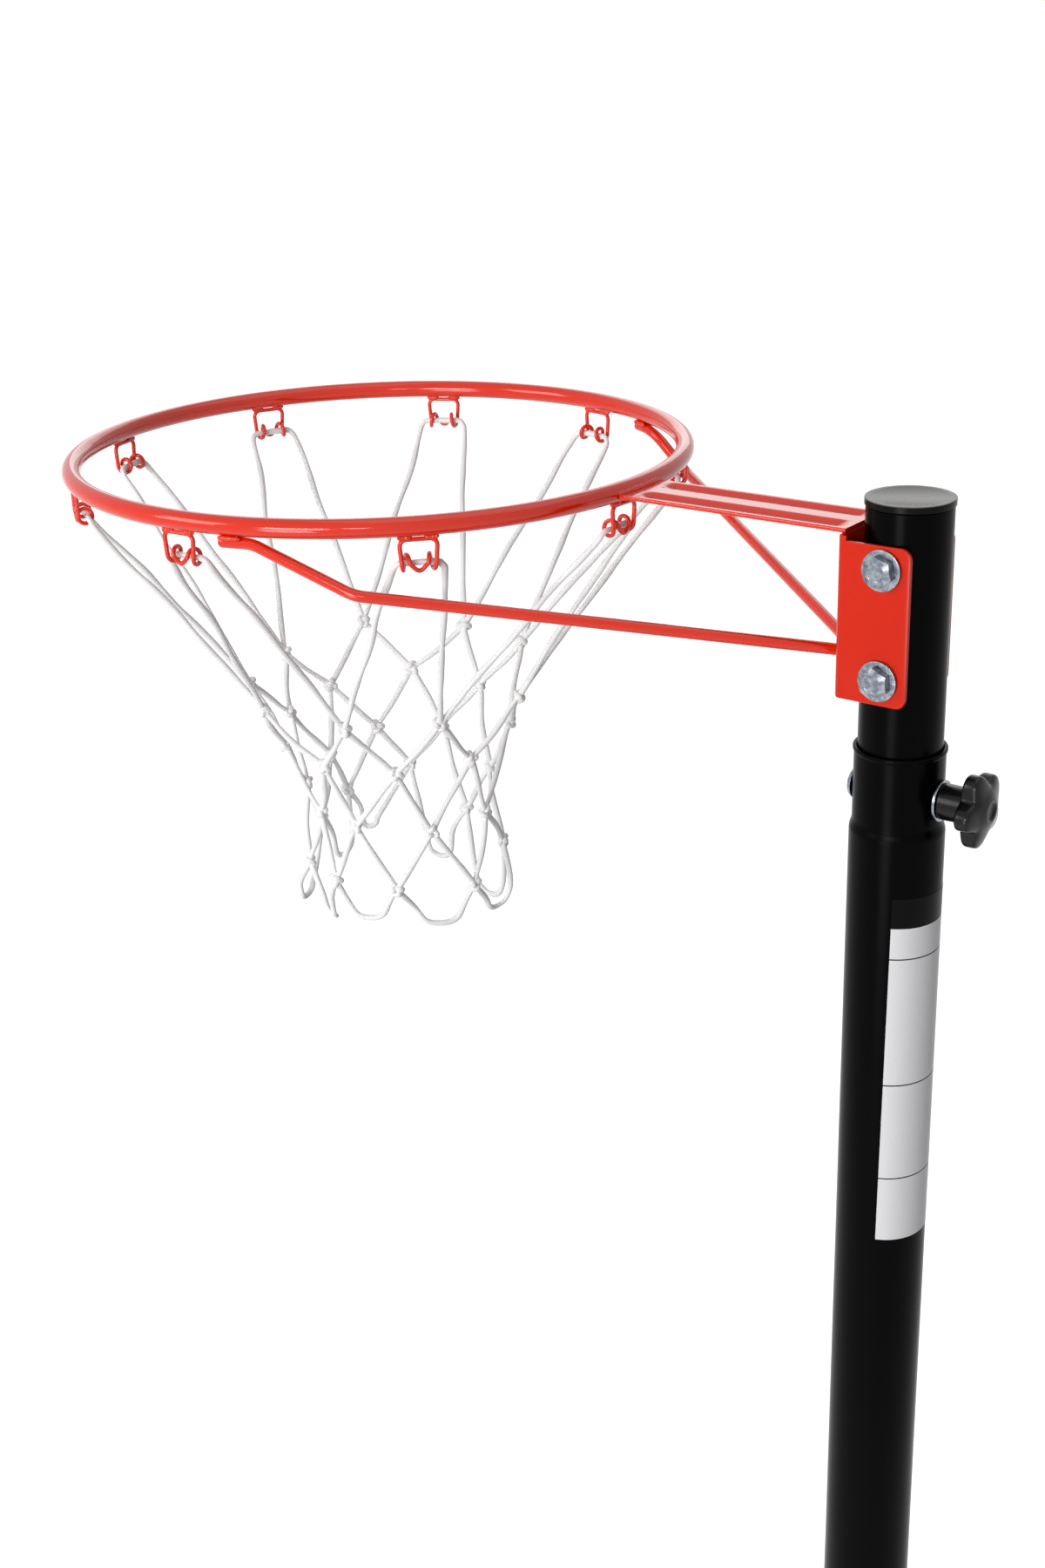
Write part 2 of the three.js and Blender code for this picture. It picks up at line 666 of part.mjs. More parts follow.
function knotPlace(row, column) {
  const at = (column + HOOK_ANGLES.length) % HOOK_ANGLES.length;
  return roundRing(KNOT_ANGLES[row][at], KNOT_RADII[row][at], -KNOT_DROPS[row][at]);
}

// A long strand between two places, sagging towards the net's middle.
function strand(from, to, steps) {
  const middle = new THREE.Vector3(RING_X, 0, (from.z + to.z) / 2);
  const out = from.clone().add(to).divideScalar(2).sub(middle).setZ(0).normalize();
  return Array.from({ length: steps + 1 }, (_, i) => {
    const share = i / steps;
    return from.clone().lerp(to, share).addScaledVector(out, -STRAND_SAG * Math.sin(Math.PI * share));
  });
}

// The long cord over one hook, from the knot on its right down to the knot on its left.
function hookCord(column) {
  const seat = RING_R - COIL_RADIUS - CORD_SEAT_SHARE * CORD;
  const level = -COIL_DROP - CORD_SEAT_SHARE * CORD;
  const half = HOOK_FOOT_WIDTH / 2;
  const local = [[0, 0, 0], [half * 0.6, 0, 0], [half + CORD, 0, -CORD * 0.1],
    [half + 1.7 * CORD, -0.5 * CORD, -0.9 * CORD], [half + 2.1 * CORD, -1.9 * CORD, -3 * CORD]];
  const side = (sign) => local.map(([x, r, z]) => (
    atHook(new THREE.Vector3(sign * x, seat + r, level + z), HOOK_ANGLES[column])));
  const right = knotPlace(0, column - 1);
  const left = knotPlace(0, column);
  const up = side(1).reverse();
  const down = side(-1);
  return [
    ...strand(right, up[0], STRAND_STEPS).slice(0, -1), ...up, ...down.slice(1),
    ...strand(down.at(-1), left, STRAND_STEPS).slice(1),
  ];
}

function bottomLoop(column) {
  const [from, to] = [knotPlace(KNOT_ROWS - 1, column), knotPlace(KNOT_ROWS - 1, column + 1)];
  const low = knotPlace(KNOT_ROWS, column);
  return Array.from({ length: LOOP_STEPS + 1 }, (_, i) => {
    const share = i / LOOP_STEPS;
    const span = from.clone().lerp(to, (1 - Math.cos(Math.PI * share)) / 2);
    return span.lerp(low, Math.sin(Math.PI * share) ** 0.7);
  });
}

function net() {
  const tubes = [];
  const cord = (points) => tubes.push(swept(points, CORD / 2, CORD_SIDES));
  const columns = HOOK_ANGLES.map((_, i) => i);
  for (const column of columns) {
    cord(hookCord(column));
    for (let row = 0; row < KNOT_ROWS - 1; row += 1) {
      const step = row % 2 === 0 ? 1 : -1;
      const from = knotPlace(row, column);
      cord([from, knotPlace(row + 1, column)]);
      cord([from, knotPlace(row + 1, column + step)]);
    }
    cord(bottomLoop(column));
    for (let row = 0; row < KNOT_ROWS; row += 1) {
      const at = knotPlace(row, column);
      tubes.push(new THREE.IcosahedronGeometry(KNOT_SIZE).translate(at.x, at.y, at.z));
    }
  }
  return join(...tubes);
}

// Upper pole: slotted for the clamp bolt, cross drilled for the ring bolts

function upperPole() {
  const length = [UPPER_END - RING_Z, UPPER_TOP];
  const tube = ring(UPPER_R - POLE_WALL, UPPER_R, ...length, TUBE_SIDES);
  const reach = UPPER_R + OVERRUN;
  const slotR = CLAMP_R + BOLT_PLAY;
  const [low, high] = [-CLAMP_DROP - LIFT, -CLAMP_DROP];
  const slot = [...arc(low, 0, slotR, 90, 270, 4), ...arc(high, 0, slotR, 270, 450, 4)];
  const slotTool = prism(slot, -reach, reach).rotateY(-Math.PI / 2);
  const holes = RING_BOLT_HEIGHTS.map((height) => (
    alongY(bar(RING_BOLT_D / 2 + BOLT_PLAY, -reach, reach, 12)).translate(-RING_BOLT_BACKSET, 0, height)));
  return cut(tube, slotTool, ...holes);
}

function poleCap() {
  const bore = UPPER_R - POLE_WALL - GAP;
  const headR = UPPER_R + CAP_LIP;
  const [top, under] = [CAP_ABOVE_RING, CAP_ABOVE_RING - CAP_HEAD];
  return turned([
    [0, under], [bore - CAP_WALL, under], [bore - CAP_WALL, under - CAP_PLUG],
    [bore, under - CAP_PLUG], [bore, under], [headR, under],
    [headR, top - CAP_EDGE], [headR - CAP_EDGE, top], [0, top],
  ], TUBE_SIDES);
}

// Middle pole: neck drawn in at the top, with a rolled rim

function middlePole() {
  const outer = [
    [POLE_R, JOINT_Z], [POLE_R, RIM_Z - NECK_LENGTH - FLARE_LENGTH],
    [(POLE_R + NECK_R) / 2, RIM_Z - NECK_LENGTH - FLARE_LENGTH * 0.6],
    [NECK_R, RIM_Z - NECK_LENGTH], [NECK_R, RIM_Z - 4 * RIM_LIP],
    [NECK_R + RIM_LIP, RIM_Z - 3 * RIM_LIP], [NECK_R + RIM_LIP, RIM_Z - RIM_LIP],
    [NECK_R, RIM_Z],
  ];
  const inner = [
    [NECK_R - POLE_WALL, RIM_Z], [NECK_R - POLE_WALL, RIM_Z - NECK_LENGTH],
    [POLE_BORE, RIM_Z - NECK_LENGTH - FLARE_LENGTH], [POLE_BORE, JOINT_Z],
  ];
  const tube = turned([...outer, ...inner, outer[0]], TUBE_SIDES);
  const reach = POLE_R + OVERRUN;
  const clampHole = alongX(bar(CLAMP_R + BOLT_PLAY, -reach, reach, 12)).translate(0, 0, CLAMP_Z);
  return cut(tube, clampHole, lockHole());
}

function lockHole() {
  const across = bar(LOCK_D / 2 + BOLT_PLAY, 0, POLE_R + OVERRUN, 12);
  return alongX(across).translate(0, 0, JOINT_Z + LOCK_RISE);
}

function bottomPole() {
  const flare = FLARE_LENGTH * 1.6;
  const shoulder = JOINT_Z - GAP;
  const top = JOINT_Z + SPIGOT_LENGTH;
  const outer = [
    [POLE_R, POLE_FOOT], [POLE_R, shoulder - flare], [POLE_R - SWAGE_DEPTH * 0.3, shoulder - flare * 0.6],
    [SPIGOT_R, shoulder], [SPIGOT_R, top],
  ];
  const inner = [
    [SPIGOT_R - POLE_WALL, top], [SPIGOT_R - POLE_WALL, shoulder],
    [POLE_BORE, shoulder - flare], [POLE_BORE, POLE_FOOT],
  ];
  const tube = turned([...outer, ...inner, outer[0]], TUBE_SIDES);
  const reach = POLE_R + OVERRUN;
  const strutHole = alongY(bar(STRUT_BOLT_D / 2 + BOLT_PLAY, -reach, reach, 12)).translate(0, 0, STRUT_TOP);
  return cut(tube, strutHole, lockHole());
}

function lockScrew() {
  const seat = POLE_R + GAP;
  return alongX(turned([
    [0, seat + LOCK_HEAD - LOCK_LENGTH], [LOCK_D / 2, seat + LOCK_HEAD - LOCK_LENGTH], [LOCK_D / 2, seat],
    [LOCK_HEAD_D / 2, seat], [LOCK_HEAD_D / 2, seat + LOCK_HEAD / 2], [LOCK_HEAD_D / 3, seat + LOCK_HEAD],
    [0, seat + LOCK_HEAD],
  ], 14));
}

function polePlug() {
  const bore = POLE_BORE - GAP;
  const [top, bottom] = [POLE_FOOT - GAP, POLE_FOOT - GAP - PLUG_FLANGE];
  return turned([
    [0, bottom], [POLE_R, bottom], [POLE_R, top], [bore, top], [bore, top + PLUG_DEPTH],
    [bore - POLE_WALL, top + PLUG_DEPTH], [bore - POLE_WALL, top + PLUG_FLANGE], [0, top + PLUG_FLANGE],
  ], 16);
}

// Clamp: bolt with a domed head, washer and star knob along X

function clampBolt() {
  const seat = -(NECK_R + GAP);
  const end = KNOB_START + KNOB_THREAD;
  return alongX(turned([
    [0, seat - CLAMP_DOME], [CLAMP_DOME_D * 0.2, seat - CLAMP_DOME * 0.93],
    [CLAMP_DOME_D * 0.37, seat - CLAMP_DOME * 0.68], [CLAMP_DOME_D * 0.47, seat - CLAMP_DOME * 0.3],
    [CLAMP_DOME_D / 2, seat], [CLAMP_R, seat], [CLAMP_R, end], [0, end],
  ], 16));
}

function clampWasher() {
  const face = NECK_R + GAP;
  return alongX(ring(CLAMP_R + BOLT_PLAY, CLAMP_WASHER_D / 2, face, face + CLAMP_WASHER_SHEET, 18));
}

// One ring of the knob's star outline at a share of its size and a height.
function starRing(share, height) {
  const steps = KNOB_LOBES * 6;
  const middle = KNOB_D / 2 - KNOB_LOBE_DEPTH / 2;
  return Array.from({ length: steps }, (_, i) => {
    const angle = (i * 2 * Math.PI) / steps;
    const wave = Math.cos(KNOB_LOBES * angle);
    const lobe = wave + 0.25 * (1 - wave * wave);
    const radius = share * (middle + (KNOB_LOBE_DEPTH / 2) * lobe);
    const turn = angle + rad(KNOB_TURN);
    return new THREE.Vector3(-radius * Math.cos(turn), radius * Math.sin(turn), height);
  });
}

function clampKnob() {
  const star = loft(KNOB_PROFILE_SHARES.map(([share, rise]) => (
    starRing(share, KNOB_SHANK + rise * KNOB_HEAD))));
  const shank = bar(KNOB_SHANK_D / 2, 0, KNOB_SHANK + KNOB_HEAD / 2, 20);
  const bore = bar(CLAMP_R + GAP, -OVERRUN, KNOB_THREAD + GAP * 4, 12);
  return cut(join(star, shank), bore);
}

// Ballast tank

// One ring of the tank's rounded outline, drawn in by an inset, at a height.
function tankRing(inset, height) {
  const [front, back] = [-TANK_FRONT + inset, TANK_BACK - inset];
  const side = TANK_WIDTH / 2 - inset;
  const corner = TANK_CORNER - inset;
  return [
    ...arc(back - corner, side - corner, corner, 0, 90, 4),
    ...arc(front + corner, side - corner, corner, 90, 180, 4),
    ...arc(front + corner, -side + corner, corner, 180, 270, 4),
    ...arc(back - corner, -side + corner, corner, 270, 360, 4),
  ].map(([x, y]) => new THREE.Vector3(x, y, height));
}

function wheelPocket(side) {
  const room = WHEEL_D / 2 + WHEEL_ROOM;
  const inside = TANK_WIDTH / 2 - WHEEL_WIDTH - HUB_OUT - AXLE_CAP - GAP;
  const outside = TANK_WIDTH / 2 + OVERRUN;
  const [y0, y1] = side > 0 ? [inside, outside] : [-outside, -inside];
  const round = alongY(bar(room, y0, y1, 20)).translate(-WHEEL_BACK, 0, AXLE_Z);
  const front = block(-TANK_FRONT - OVERRUN, -WHEEL_BACK, y0, y1, -OVERRUN, AXLE_Z + room);
  const under = block(-TANK_FRONT - OVERRUN, -WHEEL_BACK + room, y0, y1, -OVERRUN, AXLE_Z);
  return [round, front, under];
}

// A shallow round-ended groove in the deck, along X.
function deckGroove(index) {
  const y = (index - (RIB_COUNT - 1) / 2) * RIB_SPACING;
  const end = RIB_START + RIB_LENGTH;
  const half = RIB_WIDTH / 2;
  const outline = [...arc(RIB_START, y, half, 90, 270, 5), ...arc(end, y, half, 270, 450, 5)];
  return prism(outline, TANK_HEIGHT - RIB_DEPTH, TANK_HEIGHT + OVERRUN);
}

function tankBody() {
  const shell = loft([
    tankRing(FOOT_CHAMFER, 0), tankRing(0, FOOT_CHAMFER),
    tankRing(TANK_DRAFT - TANK_EDGE / 2, TANK_HEIGHT - TANK_EDGE),
    tankRing(TANK_DRAFT, TANK_HEIGHT - TANK_EDGE * 0.3), tankRing(TANK_DRAFT + TANK_EDGE * 0.7, TANK_HEIGHT),
  ]);
  const collar = turned([
    [0, TANK_HEIGHT / 2], [COLLAR_D / 2, TANK_HEIGHT / 2], [COLLAR_D / 2, TANK_HEIGHT],
    [COLLAR_D / 2 - COLLAR_DRAFT, TANK_HEIGHT + COLLAR_HEIGHT * 0.85],
    [COLLAR_D / 2 - 2 * COLLAR_DRAFT, TANK_HEIGHT + COLLAR_HEIGHT], [0, TANK_HEIGHT + COLLAR_HEIGHT],
  ], 24);
  const neck = bar(FILLER_D / 2, TANK_HEIGHT / 2, TANK_HEIGHT + FILLER_NECK, 20)
    .translate(FILLER_BACK, 0, 0);
  const pads = [-1, 1].map((side) => bar(PAD_D / 2, TANK_HEIGHT / 2, TANK_HEIGHT + PAD_HEIGHT, 16)
    .translate(STRUT_BACK, side * STRUT_SPREAD, 0));
  return join(shell, collar, neck, ...pads);
}

function baseTank() {
  const socketFloor = POLE_FOOT - 2 * GAP - PLUG_FLANGE;
  const socket = bar(POLE_R + GAP, socketFloor, TANK_HEIGHT + COLLAR_HEIGHT + OVERRUN, TUBE_SIDES);
  const well = bar(FILLER_BORE / 2, TANK_HEIGHT - FILLER_WELL, TANK_HEIGHT + FILLER_NECK + OVERRUN, 20)
    .translate(FILLER_BACK, 0, 0);
  const reach = TANK_WIDTH / 2 + OVERRUN;
  const axleBore = alongY(bar(AXLE_D / 2 + GAP, -reach, reach, 16)).translate(-WHEEL_BACK, 0, AXLE_Z);
  const grooves = Array.from({ length: RIB_COUNT }, (_, i) => deckGroove(i));
  const grip = block(TANK_BACK - GRIP_DEPTH, TANK_BACK + OVERRUN, -GRIP_WIDTH / 2, GRIP_WIDTH / 2,
    -OVERRUN, GRIP_HEIGHT);
  const boltHoles = [-1, 1].map((side) => (
    bar(STRUT_BOLT_D / 2 + BOLT_PLAY, TANK_HEIGHT - FOOT_HOLE, TANK_HEIGHT + PAD_HEIGHT + OVERRUN, 12)
      .translate(STRUT_BACK, side * STRUT_SPREAD, 0)));
  return cut(tankBody(), socket, well, axleBore, ...wheelPocket(1), ...wheelPocket(-1), ...grooves, grip,
    ...boltHoles);
}

// Filler cap with a ribbed skirt, and the seal under its top

function fillerCap() {
  const skirt = TANK_HEIGHT + GAP;
  const seat = TANK_HEIGHT + FILLER_NECK + GAP + SEAL_SHEET + GAP;
  const top = seat + FILLER_CAP_WALL;
  const steps = FILLER_RIBS * 4;
  const ribbed = (height, inset) => Array.from({ length: steps }, (_, i) => {
    const angle = (i * 2 * Math.PI) / steps;
    const radius = FILLER_CAP_D / 2 - inset - (i % 4 < 2 ? 0 : FILLER_RIB_DEPTH);
    return new THREE.Vector3(radius * Math.cos(angle), radius * Math.sin(angle), height);
  });
  const outside = loft([
    ribbed(skirt, 0), ribbed(top - FILLER_CAP_WALL / 2, FILLER_CAP_WALL / 4), ribbed(top, FILLER_CAP_WALL),
  ]);
  const inside = bar(FILLER_D / 2 + FILLER_PLAY, skirt - OVERRUN, seat, 20);
  return cut(outside, inside).translate(FILLER_BACK, 0, 0);
}

function fillerSeal() {
  const seat = TANK_HEIGHT + FILLER_NECK + GAP;
  return ring(FILLER_BORE / 2, FILLER_D / 2 - FILLER_PLAY, seat, seat + SEAL_SHEET, 16)
    .translate(FILLER_BACK, 0, 0);
}

// Wheels: tyre, recessed disc and hub in one moulding, along Y about the axle

function wheel() {
  const [half, hubHalf, disc] = [WHEEL_WIDTH / 2, WHEEL_WIDTH / 2 + HUB_OUT, DISC_SHEET / 2];
  const [tyre, bore] = [WHEEL_D / 2, AXLE_D / 2 + GAP];
  const rim = tyre - TYRE_WALL;
  const face = [
    [bore, hubHalf], [HUB_D / 2, hubHalf], [HUB_D / 2 + WHEEL_CHAMFER, disc], [rim - WHEEL_CHAMFER, disc],
    [rim, half], [tyre - TYRE_EDGE, half], [tyre, half - TYRE_EDGE],
  ];
  const other = face.map(([r, z]) => [r, -z]).reverse();
  return alongY(turned([...face, ...other, face[0]], 20));
}

function axleCap() {
  const depth = AXLE_CAP - AXLE_CAP_WALL;
  return turned([
    [0, AXLE_CAP], [AXLE_CAP_D * 0.28, AXLE_CAP * 0.96], [AXLE_CAP_D * 0.42, AXLE_CAP * 0.7],
    [AXLE_CAP_D / 2, AXLE_CAP * 0.25], [AXLE_CAP_D / 2, 0], [AXLE_D / 2 + GAP, 0],
    [AXLE_D / 2 + GAP, depth], [0, depth],
  ], 12);
}

function wheelSet() {
  const hubHalf = WHEEL_WIDTH / 2 + HUB_OUT;
  const inside = TANK_WIDTH / 2 - WHEEL_WIDTH - HUB_OUT - AXLE_CAP;
  const centre = inside + hubHalf;
  const capSeat = centre + hubHalf + GAP;
  const axleEnd = capSeat + AXLE_CAP - AXLE_CAP_WALL - GAP;
  const axle = alongY(bar(AXLE_D / 2, -axleEnd, axleEnd, 20));
  add(part, 'axle', axle, 'zinc').position.set(-WHEEL_BACK, 0, AXLE_Z);
  for (const [name, side] of [['left', 1], ['right', -1]]) {
    add(part, `wheel_${name}`, wheel(), 'tyrePlastic').position.set(-WHEEL_BACK, side * centre, AXLE_Z);
    const cap = axleCap().rotateX(-side * Math.PI / 2);
    add(part, `axle_cap_${name}`, cap, 'zinc').position.set(-WHEEL_BACK, side * capSeat, AXLE_Z);
  }
}

// Struts: round tube, flattened at both ends, bolted to the pole and to the tank

// Ten points of a flattened circle across a direction, its first half width towards another.
function section(centre, along, towards, first, second) {
  const one = towards.clone().addScaledVector(along, -towards.dot(along)).normalize();
  const two = one.clone().cross(along);
  return polygon(1, 10).map(([a, b]) => (
    centre.clone().addScaledVector(one, first * a).addScaledVector(two, second * b)));
}

function strutPlaces(side) {
  const top = new THREE.Vector3(0, side * (POLE_R + GAP + STRUT_FLAT / 2), STRUT_TOP);
  const seat = TANK_HEIGHT + PAD_HEIGHT + GAP;
  const foot = new THREE.Vector3(STRUT_BACK, side * STRUT_SPREAD, seat + STRUT_FLAT / 2);
  const fall = new THREE.Vector3(foot.x, 0, foot.z - top.z).normalize();
  const level = new THREE.Vector3(foot.x - top.x, foot.y - top.y, 0).normalize();
  return { top, foot, fall, level };
}

function strut(side) {
  const { top, foot, fall, level } = strutPlaces(side);
  const topBend = top.clone().addScaledVector(fall, STRUT_FLAT_LENGTH);
  const footBend = foot.clone().addScaledVector(level, -STRUT_FLAT_LENGTH);
  const run = footBend.clone().sub(topBend).normalize();
  const up = new THREE.Vector3(0, 0, 1);
  const [wide, thin, round] = [STRUT_FLAT_WIDTH / 2, STRUT_FLAT / 2, STRUT_D / 2];
  const along = (place, direction, distance) => place.clone().addScaledVector(direction, distance);
  const body = loft([
    section(along(top, fall, -STRUT_FLAT_LENGTH), fall, up, wide * END_SHARE, thin),
    section(along(top, fall, -STRUT_FLAT_LENGTH * END_SHARE), fall, up, wide, thin),
    section(topBend, fall, up, wide, thin),
    section(along(topBend, run, STRUT_TAPER), run, up, round, round),
    section(along(footBend, run, -STRUT_TAPER), run, up, round, round),
    section(footBend, level, up, thin, wide),
    section(along(foot, level, STRUT_FLAT_LENGTH * END_SHARE), level, up, thin, wide),
    section(along(foot, level, STRUT_FLAT_LENGTH), level, up, thin, wide * END_SHARE),
  ]);
  const hole = () => bar(STRUT_BOLT_D / 2 + BOLT_PLAY, -STRUT_FLAT, STRUT_FLAT, 12);
  return cut(body, alongY(hole()).translate(...top), hole().translate(...foot));
}

function struts() {
  for (const [name, side] of [['left', 1], ['right', -1]]) {
    const { foot } = strutPlaces(side);
    const washerFace = foot.z + STRUT_FLAT / 2 + GAP;
    const boltFace = washerFace + STRUT_WASHER_SHEET + GAP;
    const washer = ring(STRUT_BOLT_D / 2 + BOLT_PLAY, STRUT_WASHER_D / 2, 0, STRUT_WASHER_SHEET, 14);
    const bolt = hexBolt(STRUT_BOLT_D, STRUT_HEX, STRUT_HEAD, boltFace - TANK_HEIGHT + FOOT_THREAD);
    add(part, `strut_${name}`, strut(side), 'blackPaint');
    add(part, `strut_washer_${name}`, washer, 'zinc').position.set(foot.x, foot.y, washerFace);
    add(part, `strut_foot_bolt_${name}`, bolt, 'zinc').position.set(foot.x, foot.y, boltFace);
  }
  const face = POLE_R + GAP + STRUT_FLAT + GAP;
  const long = hexBolt(STRUT_BOLT_D, STRUT_HEX, STRUT_HEAD, 2 * face + STRUT_NUT + STRUT_BOLT_END);
  const nut = alongY(hexNut(STRUT_BOLT_D, STRUT_HEX, STRUT_NUT));
  add(part, 'strut_bolt', long.rotateX(Math.PI / 2), 'zinc').position.set(0, -face, STRUT_TOP);
  add(part, 'strut_nut', nut, 'zinc').position.set(0, face, STRUT_TOP);
}

// The head moves up and down on the middle pole; everything else stands on the floor.

function goalHead() {
  add(head, 'goal_ring', goalRing(), 'redPaint');
  add(head, 'ring_arm', ringArm(), 'redPaint');
  add(head, 'v_brace', vBrace(), 'redPaint');
  add(head, 'pole_bracket', poleBracket(), 'redPaint');
  netHooks();
  add(head, 'net', net(), 'netCord');
  add(head, 'upper_pole', upperPole(), 'blackPaint');
  add(head, 'pole_cap', poleCap(), 'capPlastic');
  ringBolts();
}

function clamp() {
  add(part, 'clamp_bolt', clampBolt(), 'zinc').position.z = CLAMP_Z;
  add(part, 'clamp_washer', clampWasher(), 'zinc').position.z = CLAMP_Z;
  add(part, 'clamp_knob', alongX(clampKnob()), 'blackPlastic').position.set(KNOB_START, 0, CLAMP_Z);
}

function stand() {
  add(part, 'middle_pole', middlePole(), 'blackPaint');
  add(part, 'bottom_pole', bottomPole(), 'blackPaint');
  add(part, 'lock_screw', lockScrew(), 'zinc').position.z = JOINT_Z + LOCK_RISE;
  add(part, 'pole_plug', polePlug(), 'blackPlastic');
  add(part, 'base_tank', baseTank(), 'tankPlastic');
  add(part, 'filler_cap', fillerCap(), 'capPlastic');
  add(part, 'filler_seal', fillerSeal(), 'rubber');
}

goalHead();
clamp();
stand();
wheelSet();
struts();

export default part;
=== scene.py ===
"""Netball post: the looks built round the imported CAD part, +Z up.

The ring reaches out towards -X from the pole's axis, which is the frame's Z axis. The part's own sizes are in
millimetres and become metres where points are made; the studio and the finishes are in metres.
"""

from __future__ import annotations

import json
import logging
from dataclasses import dataclass
from enum import Enum
from typing import NamedTuple

import bmesh  # noqa: E402
import bpy  # noqa: E402
import numpy as np  # noqa: E402
from mathutils import Matrix, Vector  # noqa: E402

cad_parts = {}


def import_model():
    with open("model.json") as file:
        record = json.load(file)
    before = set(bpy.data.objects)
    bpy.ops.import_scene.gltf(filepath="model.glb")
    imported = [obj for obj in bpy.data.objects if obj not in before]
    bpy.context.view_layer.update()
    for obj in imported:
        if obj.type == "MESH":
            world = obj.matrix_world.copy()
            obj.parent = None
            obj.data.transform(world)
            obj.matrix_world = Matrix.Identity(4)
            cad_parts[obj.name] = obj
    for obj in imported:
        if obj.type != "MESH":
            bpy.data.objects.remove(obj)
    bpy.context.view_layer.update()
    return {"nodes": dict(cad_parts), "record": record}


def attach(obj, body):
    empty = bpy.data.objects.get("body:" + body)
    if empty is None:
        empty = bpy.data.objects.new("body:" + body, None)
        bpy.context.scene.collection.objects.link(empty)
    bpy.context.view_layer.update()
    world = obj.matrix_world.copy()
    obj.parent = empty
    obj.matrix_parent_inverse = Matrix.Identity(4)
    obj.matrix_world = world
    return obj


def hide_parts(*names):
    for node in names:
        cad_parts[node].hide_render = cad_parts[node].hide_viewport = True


LOG = logging.getLogger("netball_post")
MM = 0.001
RING_CENTRE = np.array([-376.15, 0.0, 2434.0]) * MM
UP = np.array([0.0, 0.0, 1.0])
RING_LEVEL = RING_CENTRE * UP
TURN = 2.0 * np.pi
QUARTER = np.pi / 2.0
GAP = 0.3
WHITE = (1.0, 1.0, 1.0, 1.0)
Array = np.ndarray
Socket = bpy.types.NodeSocket
Material = bpy.types.Material
Piece = bpy.types.Object
Pair = tuple[float, float]
Triple = tuple[float, float, float]
Colour = Place = Triple
Rows = tuple[tuple[float, ...], ...]


class Body(Enum):
    """The moving bodies that pieces ride on."""

    STAND = "stand"
    HEAD = "head"
    KNOB = "knob"
    WHEEL_LEFT = "wheel_left"
    WHEEL_RIGHT = "wheel_right"
    FILLER_CAP = "filler_cap"


class Coat(NamedTuple):
    """A finish made into a material, and the record's slot that it fills, if it fills one."""

    material: Material
    slot: str | None = None


class Nodes:
    """A node tree while it is put together."""

    def __init__(self, tree: bpy.types.NodeTree) -> None:
        """Empties a tree and keeps it for new nodes."""
        self.tree = tree
        self.tree.nodes.clear()

    def node(self, kind: str, inputs: dict | None = None, **settings: object) -> bpy.types.Node:
        """Adds a node, links or sets its inputs, and sets its properties.

        Args:
            kind: The node's type, without its ShaderNode prefix.
            inputs: Values or output sockets by input name or number.
            settings: Properties of the node itself.

        Returns:
            The new node.
        """
        made = self.tree.nodes.new("ShaderNode" + kind)
        for key, value in settings.items():
            setattr(made, key, value)
        for key, value in (inputs or {}).items():
            self.put(made.inputs[key], value)
        return made

    def put(self, socket: Socket, value: object) -> None:
        """Links an output to a socket, or sets the socket's own value."""
        if isinstance(value, Socket):
            self.tree.links.new(value, socket)
        else:
            socket.default_value = value

    def span(self, value: Socket, low: float, high: float, to_low: float = 0.0,
             to_high: float = 1.0) -> Socket:
        """Maps a value from one range to another, held at its ends."""
        inputs = {"Value": value, "From Min": low, "From Max": high, "To Min": to_low, "To Max": to_high}
        return self.node("MapRange", inputs).outputs["Result"]

    def between(self, share: Socket, first: object, second: object) -> Socket:
        """Mixes two colours by a share.

        Args:
            share: The second one's share.
            first: A colour or an output.
            second: Another one.

        Returns:
            The mixed colour.
        """
        made = self.node("Mix", data_type="RGBA")
        self.put(made.inputs[0], share)
        for socket, value in ((made.inputs[6], first), (made.inputs[7], second)):
            self.put(socket, (*value, 1.0) if isinstance(value, tuple) else value)
        return made.outputs[2]

    def sums(self, kind: str, first: object, second: object = 0.0) -> Socket:
        """One step of arithmetic on two values."""
        return self.node("Math", {0: first, 1: second}, operation=kind).outputs[0]

    def bump(self, height: Socket, depth: float) -> Socket:
        """A bump of a depth in metres."""
        return self.node("Bump", {"Height": height, "Distance": depth, "Strength": 1.0}).outputs["Normal"]

    def seen(self) -> Socket:
        """One for rays that see the surroundings straight, mirrored or through clear bodies, else zero.

        Returns:
            The output that holds it.
        """
        path = self.node("LightPath")
        seen = self.sums("MAXIMUM", path.outputs["Is Camera Ray"], path.outputs["Is Transmission Ray"])
        return self.sums("MAXIMUM", seen, path.outputs["Is Glossy Ray"])


class Shader(Nodes):
    """A material's tree: a Principled shader, its output and the texture coordinates."""

    def __init__(self, name: str) -> None:
        """Starts a material that holds only a Principled shader and its output.

        Args:
            name: The material's name.
        """
        self.material = bpy.data.materials.new(name)
        self.material.use_nodes = True
        super().__init__(self.material.node_tree)
        self.surface = self.node("BsdfPrincipled")
        self.node("OutputMaterial", {"Surface": self.surface.outputs[0]})
        self.place = self.node("TexCoord")

    def set(self, **inputs: object) -> None:
        """Sets the Principled shader's inputs; underscores stand for spaces."""
        for key, value in inputs.items():
            self.put(self.surface.inputs[key.replace("_", " ")], value)

    def split(self, where: str) -> list[Socket]:
        """The three parts of the Object or UV coordinates."""
        return list(self.node("SeparateXYZ", {0: self.place.outputs[where]}).outputs)

    def noise(self, scale: float, detail: float = 2.0, roughness: float = 0.5,
              where: Socket | None = None) -> Socket:
        """A noise on object coordinates, with its scale in cells a metre."""
        inputs = {"Vector": where or self.place.outputs["Object"], "Scale": scale, "Detail": detail,
                  "Roughness": roughness}
        return self.node("TexNoise", inputs).outputs["Fac"]


